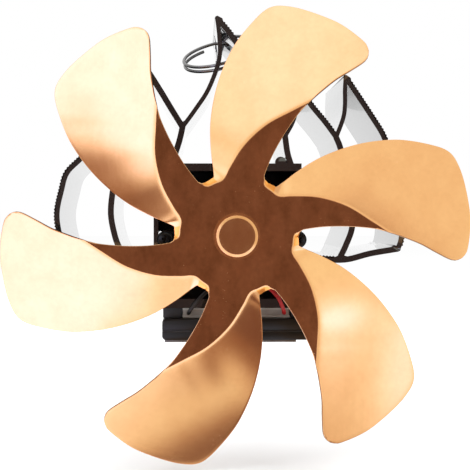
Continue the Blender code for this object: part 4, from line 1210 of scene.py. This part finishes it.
@dataclass
class Leads:
    """The module's two sleeved leads, from its front edge round into the box and up to the motor."""

    radius: float = 0.0007
    terminal_x: float = 0.0055
    foot_z: float = 0.0098
    rise: float = 0.0189
    across: float = 0.0122
    motor_length: float = 0.0220
    steps: int = 6
    resolution: int = 4
    black: Sequence[Point] = (
        (1.0, 0.205, 0.0), (1.0, 0.068, 0.0), (0.926, -0.100, 0.095), (0.598, -0.164, 0.339),
        (0.238, -0.100, 0.519), (0.057, 0.136, 0.540), (0.0, 0.545, 0.497), (0.0, 0.932, 0.487),
        (0.0, 1.145, 0.566), (0.0, 1.191, 0.751), (0.0, 1.191, 0.926),
    )
    red: Sequence[Point] = (
        (1.0, 0.205, 0.0), (1.0, 0.068, 0.005), (0.943, -0.100, 0.116), (0.795, -0.155, 0.328),
        (0.549, -0.100, 0.497), (0.254, 0.136, 0.550), (0.057, 0.545, 0.497), (0.0, 0.932, 0.487),
        (0.0, 1.145, 0.566), (0.0, 1.191, 0.751), (0.0, 1.191, 0.926),
    )

    def route(self, shares: Sequence[Point], side: int) -> list[Vector]:
        """A lead's points in the object's frame.

        Args:
            shares: its points as shares of the way across, back and up.
            side: -1 for the left lead, 1 for the right one.

        Returns:
            The smooth line.
        """
        spots = [
            Vector((
                side * (self.terminal_x + over * self.across) + (1 - over) * AXIS_X,
                SINK_FRONT_Y + back * self.motor_length,
                self.foot_z + up * self.rise,
            ))
            for over, back, up in shares
        ]
        return smooth_path(spots, self.steps)

    def build(self) -> list[Piece]:
        """Make both leads.

        Returns:
            The finished pieces.
        """
        made = []
        leads = (
            ("lead_black", self.black, -1, BLACK_SLEEVE, "black_insulation", "wire_black"),
            ("lead_red", self.red, 1, RED_SLEEVE, "red_insulation", "wire_red"),
        )
        for name, shares, side, finish, slot, node in leads:
            points = self.route(shares, side)
            wire = round_wire(points, self.radius, self.resolution)
            piece = settle(wire, name, finish, Body.FRAME, [node])
            length = sum((end - start).length for start, end in zip(points, points[1:]))
            made.append(piece)
        return made


@dataclass
class HeatSink:
    """The flame extrusion: the CAD form with its sawn edges broken, and with the fine teeth of the real one.

    The CAD's teeth are twice as long as the real ones. They are taken off the copy, and a strip of fine
    ones is laid on each face that they leave, save on the smooth left face of the flame's tallest tip.
    """

    edge: float = 0.00018
    tooth_width: Pair = (0.0009, 0.0017)
    tooth_angle: Pair = (math.radians(28), math.radians(62))
    coarse_height: float = 0.0005
    fine_height: float = 0.00038
    fine_depth: float = 0.0005
    smooth_from_x: float = -0.030
    flat: float = 0.01
    strip_angle: float = 20.0

    def _tips(self, piece: Piece) -> dict[tuple[int, int], Vector]:
        """Find the long edges along the coarse teeth's tips.

        Args:
            piece: the merged copy of the extrusion.

        Returns:
            The ends of each edge, with the way that the tooth points.
        """
        mesh = piece.data
        beside: dict[tuple[int, int], list[Any]] = {}
        for face in mesh.polygons:
            for key in face.edge_keys:
                beside.setdefault(key, []).append(face)
        tips = {}
        for key, faces in beside.items():
            start, end = (mesh.vertices[index].co for index in key)
            if len(faces) != 2 or off_axis(start, end.x, end.z) > WELD:
                continue
            first, second = faces
            if max(abs(first.normal.y), abs(second.normal.y)) > self.flat:
                continue
            wide = [
                max(off_axis(mesh.vertices[index].co, start.x, start.z) for index in face.vertices)
                for face in faces
            ]
            is_sharp = self.tooth_angle[0] < first.normal.angle(second.normal) < self.tooth_angle[1]
            is_out = (second.center - first.center).dot(second.normal - first.normal) > 0
            if is_sharp and is_out and self.tooth_width[0] < min(wide) and max(wide) < self.tooth_width[1]:
                tips[key] = (first.normal + second.normal).normalized()
        return tips

    def _strips(self, piece: Piece, spots: Sequence[Pair]) -> Piece:
        """Lay fine teeth over the faces that the coarse ones left.

        Args:
            piece: the extrusion without its coarse teeth.
            spots: where the coarse tips were.

        Returns:
            The strips of teeth as one piece.
        """

        def was_toothed(part: Any) -> bool:
            """Whether a face lies where a coarse tooth was."""
            near = any(off_axis(part.center, x, z) < self.tooth_width[0] for x, z in spots)
            return near and abs(part.normal.y) < self.flat and len(part.vertices) == 4

        with editing(piece):
            pick(piece, "FACE", was_toothed)
            bpy.ops.mesh.duplicate()
            bpy.ops.mesh.separate(type="SELECTED")
        strip = [item for item in bpy.context.selected_objects if item != piece][0]
        corners = strip.data.vertices
        roots = {(vertex.co.x, vertex.co.z) for vertex in corners}
        short = {
            edge.index for edge in strip.data.edges
            if abs(corners[edge.vertices[0]].co.y - corners[edge.vertices[1]].co.y) < WELD
        }
        with editing(strip):
            pick(strip, "EDGE", lambda part: part.index in short)
            bpy.ops.mesh.subdivide(number_cuts=1)
        for vertex in strip.data.vertices:
            away = min(off_axis(vertex.co, x, z) for x, z in roots)
            if self.tooth_width[0] / 3 < away < self.tooth_width[0]:
                vertex.co += vertex.normal * self.fine_height
        apply_modifier(
            strip, "SOLIDIFY", thickness=self.fine_depth, offset=-1.0, use_even_offset=False,
        )
        shade(strip, self.strip_angle)
        return strip

    def build(self) -> list[Piece]:
        """Make the dressed extrusion and its teeth.

        Returns:
            The strips of teeth and the extrusion.
        """
        piece = node_copy("heat_sink", True)
        tips = self._tips(piece)
        corners = piece.data.vertices
        spots = []
        for key, way in tips.items():
            for index in key:
                corners[index].co -= way * self.coarse_height
            place = corners[key[0]].co
            if way.x > 0 or place.x < self.smooth_from_x:
                spots.append((place.x, place.z))
        piece.data.update()
        LOG.info("flame_teeth: %d coarse teeth taken off, %d made fine", len(tips), len(spots))
        strip = self._strips(piece, spots)
        soften(piece, self.edge, 1)
        return [
            settle(strip, "flame_teeth", BLACK_SINK, Body.FRAME),
            settle(piece, "flame_heat_sink", BLACK_SINK, Body.FRAME, ["heat_sink"]),
        ]


@dataclass
class BaseAssembly:
    """Base block, thermoelectric module with its sealed edge, spacers and overheat strip."""

    block_edge: float = 0.00025
    thin_edge: float = 0.00012
    module_side: float = 0.0400
    module_front: float = -0.0250
    module_low: float = 0.0079
    module_high: float = 0.0117
    module_plate: float = 0.0008
    seal_width: float = 0.0008
    seal_inset: float = 0.00015
    seal_cuts: int = 23
    seal_round: float = 0.0003
    seal_sharp: float = 60.0

    def _seal(self) -> Piece:
        """The bead of silicone between the two ceramic plates.

        Returns:
            The finished piece.
        """
        half = self.module_side / 2 - self.seal_inset
        inner = half - self.seal_width
        middle_y = self.module_front + self.module_side / 2
        low, high = self.module_low + self.module_plate, self.module_high - self.module_plate
        piece = primitive(bpy.ops.mesh.primitive_plane_add, size=2 * half, location=(0.0, middle_y, low))

        def is_inside(part: Any) -> bool:
            """Whether a face lies within the bead."""
            return max(abs(part.center.x), abs(part.center.y - middle_y)) < inner

        with editing(piece):
            bpy.ops.mesh.subdivide(number_cuts=self.seal_cuts)
            bpy.ops.mesh.extrude_region_move(TRANSFORM_OT_translate={"value": (0.0, 0.0, high - low)})
            bpy.ops.mesh.select_all(action="SELECT")
            bpy.ops.mesh.normals_make_consistent(inside=False)
            pick(piece, "FACE", is_inside)
            bpy.ops.mesh.delete(type="FACE")
        soften(piece, self.seal_round, 3, self.seal_sharp)
        return settle(piece, "module_edge_seal", SEAL, Body.FRAME)

    def build(self) -> list[Piece]:
        """Make the pieces under the heat sink.

        Returns:
            The finished pieces.
        """
        block, thin, body = self.block_edge, self.thin_edge, Body.FRAME
        rows = [
            ("base_block", "base_block_milled", BLACK_BLOCK, body, "block_black", block),
            ("bimetal_strip", "overheat_strip_rolled", BIMETAL, Body.STRIP, "bimetal", thin),
        ]
        for side in ("left", "right"):
            node, name = f"insulating_spacer_{side}", f"spacer_board_{side}"
            rows.append((node, name, BOARD, body, "insulating_board", thin))
        for plate in ("hot", "cold"):
            node, name = f"teg_{plate}_ceramic", f"module_plate_{plate}"
            rows.append((node, name, ALUMINA, body, "white_ceramic", thin))
        return [dressed_copy(*row) for row in rows] + [self._seal()]


@dataclass
class PlateScrews:
    """The two black pan-head screws beside the hub, each with a cross recess."""

    boss_z: float = 0.0371
    xs: Sequence[float] = (-0.0262, 0.02255)
    seat_y: float = -0.0321
    head_radius: float = 0.0031
    head_height: float = 0.0021
    shank_radius: float = 0.0013
    length: float = 0.0099
    recess_width: float = 0.00062
    recess_length: float = 0.0026
    recess_depth: float = 0.0011
    turns: Pair = (0.3, 0.9)
    tip_radius: float = 0.0002
    sides: int = 48
    edge: float = 0.00008
    dome: Sequence[Pair] = ((0.02, 1.0), (0.45, 0.97), (0.74, 0.84), (0.92, 0.58), (1.0, 0.22), (1.0, 0.0))

    def _recess(self, x: float, turn: float) -> Piece:
        """A cross that is taken out of the head.

        Args:
            x: the screw's place.
            turn: how far the cross is turned.

        Returns:
            The cross.
        """
        arms = [
            primitive(
                bpy.ops.mesh.primitive_cube_add, size=1.0, rotation=(0.0, turn + quarter, 0.0),
                location=(x, self.seat_y - self.head_height, self.boss_z),
                scale=(self.recess_length, 2 * self.recess_depth, self.recess_width),
            )
            for quarter in (0.0, math.pi / 2)
        ]
        cut(arms[0], arms[1], "UNION")
        return arms[0]

    def build(self) -> list[Piece]:
        """Make both screws.

        Returns:
            The finished pieces.
        """
        end = self.seat_y + self.length
        profile = [
            (self.head_radius * wide, self.seat_y - self.head_height * rise) for wide, rise in self.dome
        ]
        profile += [(self.shank_radius, self.seat_y), (self.shank_radius, end), (self.tip_radius, end)]
        made = []
        for side, x, turn in zip(("left", "right"), self.xs, self.turns):
            piece = lathe(profile, x, self.boss_z, self.sides)
            cut(piece, self._recess(x, turn), "DIFFERENCE")
            soften(piece, self.edge)
            name, node = f"pan_head_screw_{side}", f"plate_screw_{side}"
            made.append(settle(piece, name, BLACK_STEEL, Body.FRAME, [node]))
        return made


@dataclass
class MotorDress:
    """What shows of the motor from behind and through the fins, and the sheet across the box."""

    can_edge: float = 0.0004
    plate_edge: float = 0.00015
    partition_play: float = 0.0005
    notch_reach: float = 0.00365
    notch_shrink: float = 0.90
    same_place: float = 0.000004

    def _partition(self) -> Piece:
        """The sheet across the box, its rim moved out to touch the walls and its notches drawn in.

        Returns:
            The finished piece.
        """
        piece = node_copy("box_partition")
        low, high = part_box("box_partition")
        with editing(piece):
            for axis in (0, 2):
                for side, end in ((-1, low[axis]), (1, high[axis])):
                    pick(piece, "VERT", lambda part: abs(part.co[axis] - end) < self.same_place)
                    step = [0.0, 0.0, 0.0]
                    step[axis] = side * self.partition_play
                    bpy.ops.transform.translate(value=step)
            for side in ("left", "right"):
                first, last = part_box(f"plate_screw_{side}")
                centre = (first + last) / 2
                pick(piece, "VERT", lambda part: off_axis(part.co, centre.x, centre.z) < self.notch_reach)
                size = (self.notch_shrink, 1.0, self.notch_shrink)
                bpy.ops.transform.resize(value=size, center_override=centre)
        soften(piece, self.plate_edge)
        return settle(piece, "partition_sheet", BLACK_STEEL, Body.FRAME, ["box_partition"])

    def build(self) -> list[Piece]:
        """Dress the CAD forms.

        Returns:
            The finished pieces.
        """
        can, plate, body = self.can_edge, self.plate_edge, Body.FRAME
        rows = (
            ("motor_can", "motor_can_drawn", BRIGHT_STEEL, body, "bright_steel", can),
            ("motor_plate", "motor_bracket", BLACK_STEEL, body, "black_steel", plate),
            ("motor_end_cap", "motor_end_moulding", END_CAP_PLASTIC, body, "motor_plastic", plate),
        )
        return [dressed_copy(*row) for row in rows] + [self._partition()]


@dataclass(frozen=True)
class ReflectionWall:
    """A glowing wall behind the camera that only reflections see, brighter and darker round its middle.

    The bent blades reflect a ring of it, each blade another part, and the flat hub its dark middle. Its
    brightness is first made as one plain value from nought to one: round holds pairs of degrees clockwise
    from up and of that value, cards are soft ovals with a middle, half sizes and a value. A last ramp
    turns the value into light, paler as it grows, as a camera's film would show it.
    """

    y: float = -0.90
    size: float = 5.0
    strength: float = 5.6
    middle: float = 0.058
    middle_grain: float = 24.0
    middle_swing: Pair = (2.2, -0.1)
    middle_reach: Pair = (0.30, 0.40)
    rim: Sequence[Pair] = ((0.0, 0.50), (113.0, 0.48), (122.0, 0.86), (300.0, 0.86), (312.0, 0.55))
    rim_reach: Pair = (0.62, 0.74)
    round: Sequence[Pair] = (
        (0, 0.66), (10, 0.56), (45, 0.53), (70, 0.60), (82, 0.62), (92, 0.70), (98, 0.70),
        (105, 0.51), (113, 0.43), (121, 0.05), (132, 0.06), (140, 0.11), (148, 0.18), (154, 0.17),
        (158, 0.38), (163, 0.76), (170, 0.84), (180, 0.66), (190, 0.77), (198, 0.92), (206, 0.97),
        (216, 1.00), (232, 0.98), (241, 0.10), (252, 0.08), (262, 0.16), (268, 1.00), (290, 1.00),
        (311, 0.62), (322, 0.79), (345, 0.85),
    )
    cards: Sequence[tuple[Pair, Pair, float]] = (
        ((0.50, -1.14), (0.27, 0.20), 0.62),
        ((0.45, -0.93), (0.10, 0.13), 0.12),
        ((0.60, -0.96), (0.09, 0.12), 0.50),
        ((0.68, -1.62), (0.42, 0.33), 0.05),
        ((-1.46, 0.00), (0.36, 0.18), 0.12),
        ((-1.17, -0.06), (0.24, 0.14), 0.12),
        ((-0.80, -0.05), (0.12, 0.11), 0.96),
        ((1.03, -0.09), (0.19, 0.14), 1.00),
        ((1.75, -0.34), (0.36, 0.18), 0.93),
        ((0.55, 0.58), (0.18, 0.16), 0.36),
        ((-0.28, -1.22), (0.28, 0.14), 0.72),
    )
    card_edge: float = 0.46
    film: Sequence[tuple[float, Colour]] = (
        (0.0, (0.0, 0.0, 0.0)), (0.055, (0.2, 0.106, 0.087)), (0.12, (0.38, 0.231, 0.165)),
        (0.22, (0.55, 0.396, 0.315)), (0.4, (0.82, 0.736, 0.615)), (0.5, (0.98, 0.925, 0.788)),
        (0.6, (1.06, 1.11, 0.96)), (0.72, (1.3, 1.33, 1.43)), (0.8, (1.5, 1.48, 1.65)),
        (0.87, (1.6, 1.6, 1.95)), (0.95, (1.8, 1.79, 2.63)), (1.0, (2.1, 2.03, 3.23)),
    )

    def _card(self, maker: FinishMaker, flat: Socket, middle: Pair, half: Pair) -> Socket:
        """A soft oval of the wall.

        Args:
            maker: the wall's maker.
            flat: places on the wall.
            middle: the oval's middle.
            half: its half sizes.

        Returns:
            Nought inside it and one outside.
        """
        move = (-middle[0] / half[0], 0.0, -middle[1] / half[1])
        spot = maker.node(
            "ShaderNodeVectorMath", {"operation": "MULTIPLY_ADD"},
            {0: flat, 1: (1 / half[0], 0.0, 1 / half[1]), 2: move},
        )
        away = maker.node("ShaderNodeVectorMath", {"operation": "LENGTH"}, {0: spot}, 1)
        return away.between(1 - self.card_edge, 1 + self.card_edge)

    @staticmethod
    def _turned(maker: FinishMaker, turn: Socket, pairs: Sequence[Pair]) -> Socket:
        """A value that changes with direction, closed on itself.

        Args:
            maker: the wall's maker.
            turn: the direction as a share of a turn.
            pairs: degrees and values.

        Returns:
            The value.
        """
        stops = [(degrees / 360, (value, value, value)) for degrees, value in pairs]
        stops.append((1.0, stops[0][1]))
        return maker.node("ShaderNodeValToRGB", {"stops": stops}, {0: turn})

    def _brightness(self, maker: FinishMaker, where: Socket) -> Socket:
        """The wall's plain value.

        Args:
            maker: the wall's maker.
            where: places in space, counted from the hub's line.

        Returns:
            The value from nought to one.
        """
        sides = {0: maker.part(where, 0), 1: maker.part(where, 2)}
        angle = maker.node("ShaderNodeMath", {"operation": "ARCTAN2"}, sides)
        turn = maker.node("ShaderNodeMath", {"operation": "FRACT"}, {0: angle * (0.5 / math.pi) + 1.0})
        value, rim = self._turned(maker, turn, self.round), self._turned(maker, turn, self.rim)
        flat = maker.node("ShaderNodeVectorMath", {"operation": "MULTIPLY"}, {0: where, 1: (1.0, 0.0, 1.0)})
        for middle, half, inside in self.cards:
            value = inside + self._card(maker, flat, middle, half) * (value - inside)
        reach = maker.node("ShaderNodeVectorMath", {"operation": "LENGTH"}, {0: flat}, 1)
        value = rim + reach.between(*self.rim_reach) * (value - rim)
        swing, least = self.middle_swing
        middle = self.middle * (maker.noise(self.middle_grain, detail=6.0) * swing + least)
        return middle + reach.between(*self.middle_reach) * (value - middle)

    def build(self) -> None:
        """Make the wall."""
        wall = primitive(
            bpy.ops.mesh.primitive_plane_add, size=self.size, location=(0.0, self.y, AXIS_Z),
            rotation=(-math.pi / 2, 0.0, 0.0),
        )
        wall.name = "reflection_wall"
        maker = FinishMaker(bpy.data.materials.new("reflection_wall"))
        where = maker.node(
            "ShaderNodeMapping", None,
            {"Vector": maker.node("ShaderNodeTexCoord", output="Object"), "Location": (0.0, 0.0, -AXIS_Z)},
        )
        film = [(value, tuple(part / self.strength for part in light)) for value, light in self.film]
        glow = maker.node("ShaderNodeValToRGB", {"stops": film}, {0: self._brightness(maker, where)})
        maker.set(
            Base_Color=(0.0, 0.0, 0.0, 1.0), Emission_Color=glow, Emission_Strength=self.strength,
            Specular_IOR_Level=0.0,
        )
        wall.data.materials.append(maker.owner)
        wall.visible_camera = False
        wall.visible_diffuse = False
        wall.visible_shadow = False
        wall.visible_transmission = False


@dataclass
class Studio:
    """Pale floor, white surroundings, soft lamps, the wall that the blades reflect, and the camera."""

    floor_z: float = -0.0470
    floor_size: float = 12.0
    floor_colour: Colour = (0.93, 0.93, 0.93)
    fill: float = 1.05
    lamps: Sequence[tuple[str, Point, float, float]] = (
        ("lamp_left", (-0.9, -0.7, 0.9), 0.8, 9.0),
        ("lamp_right", (0.9, -0.6, 0.7), 0.8, 5.0),
        ("lamp_back", (0.1, 1.0, 0.9), 0.9, 6.0),
    )
    camera_place: Point = (AXIS_X - 0.0145, -0.4700, AXIS_Z + 0.0060)
    focal_pixels: float = 1193.0
    picture: float = 470.0
    hub_pixel: Pair = (236.7, 236.2)
    sensor: float = 36.0
    sideways_shift: float = 0.045
    nearest: float = 0.01

    def _world(self) -> None:
        """White surroundings, plain white where the camera or a reflection sees them."""
        world = bpy.data.worlds.new("studio_white")
        bpy.context.scene.world = world
        maker = FinishMaker(world)
        maker.tree.nodes.remove(maker.tree.nodes["Background"])
        plain, fill = (
            maker.node("ShaderNodeBackground", None, {"Color": (1.0, 1.0, 1.0, 1.0), "Strength": strength})
            for strength in (1.0, self.fill)
        )
        rays = {
            index: maker.node("ShaderNodeLightPath", output=name)
            for index, name in enumerate(("Is Camera Ray", "Is Glossy Ray"))
        }
        seen = maker.node("ShaderNodeMath", {"operation": "MAXIMUM"}, rays)
        light = maker.node("ShaderNodeMixShader", None, {0: seen, 1: fill, 2: plain})
        maker.feed(maker.tree.nodes["World Output"].inputs["Surface"], light)

    def _floor(self) -> None:
        """A wide white floor just under the lowest blade."""
        floor = primitive(
            bpy.ops.mesh.primitive_plane_add, size=self.floor_size, location=(0.0, 0.0, self.floor_z),
        )
        floor.name = "floor"
        floor.visible_glossy = False
        maker = FinishMaker(bpy.data.materials.new("white_floor"))
        maker.set(Base_Color=(*self.floor_colour, 1.0), Roughness=0.9, Specular_IOR_Level=0.0)
        floor.data.materials.append(maker.owner)

    def _lamp(self, name: str, place: Point, size: float, power: float) -> None:
        """Hang a soft square lamp, aimed at the fan and unseen in its reflections.

        Args:
            name: the lamp's name.
            place: where it hangs.
            size: its side.
            power: in watts.
        """
        data = bpy.data.lights.new(name, "AREA")
        data.shape = "SQUARE"
        data.size = size
        data.energy = power
        lamp = bpy.data.objects.new(name, data)
        bpy.context.scene.collection.objects.link(lamp)
        lamp.location = place
        away = Vector(place) - Vector((0.0, 0.0, AXIS_Z))
        lamp.rotation_euler = away.to_track_quat("Z", "Y").to_euler()
        lamp.visible_glossy = False

    def _camera(self) -> None:
        """The camera at the photograph's place, aimed so that the hub falls where it does there."""
        data = bpy.data.cameras.new("camera")
        data.sensor_width = self.sensor
        data.lens = self.focal_pixels / self.picture * self.sensor
        data.clip_start = self.nearest
        data.shift_x = self.sideways_shift
        camera = bpy.data.objects.new("camera", data)
        bpy.context.scene.collection.objects.link(camera)
        hub = Vector((AXIS_X, SHEET_FRONT_Y, AXIS_Z))
        place = Vector(self.camera_place)
        ahead = hub - place
        centre = self.picture / 2
        axis_pixel = centre - self.sideways_shift * self.picture
        aside = math.atan((self.hub_pixel[0] - axis_pixel) / self.focal_pixels)
        above = math.atan((centre - self.hub_pixel[1]) / self.focal_pixels)
        turn = math.atan2(ahead.x, ahead.y) - aside
        pitch = math.atan2(ahead.z, ahead.y) - above
        camera.location = place
        camera.rotation_euler = (math.pi / 2 + pitch, 0.0, -turn)
        bpy.context.scene.camera = camera

    def build(self) -> None:
        """Set the studio up."""
        bpy.context.scene.view_settings.view_transform = "Standard"
        self._camera()
        self._world()
        self._floor()
        ReflectionWall().build()
        for lamp in self.lamps:
            self._lamp(*lamp)


def dress_nodes() -> None:
    """Give every CAD node its finish."""
    for finish, nodes in FINISHED_NODES:
        for node in nodes.split():
            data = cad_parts[node].data
            data.materials.clear()
            data.materials.append(finish.material())


def main() -> None:
    """Build the studio and every sub-assembly in order, and report each piece."""
    logging.basicConfig(level=logging.INFO, format="%(name)s: %(message)s")
    Studio().build()
    dress_nodes()
    assemblies = (
        Leads(), HeatSink(), BaseAssembly(), MotorDress(), PlateScrews(), FanSheet(), HubCap(), SplitRing(),
    )
    for assembly in assemblies:
        for piece in assembly.build():
            LOG.info("%s, %s: %d faces", type(assembly).__name__, piece.name, len(piece.data.polygons))
    select_only()


if __name__ == "__main__":
    main()
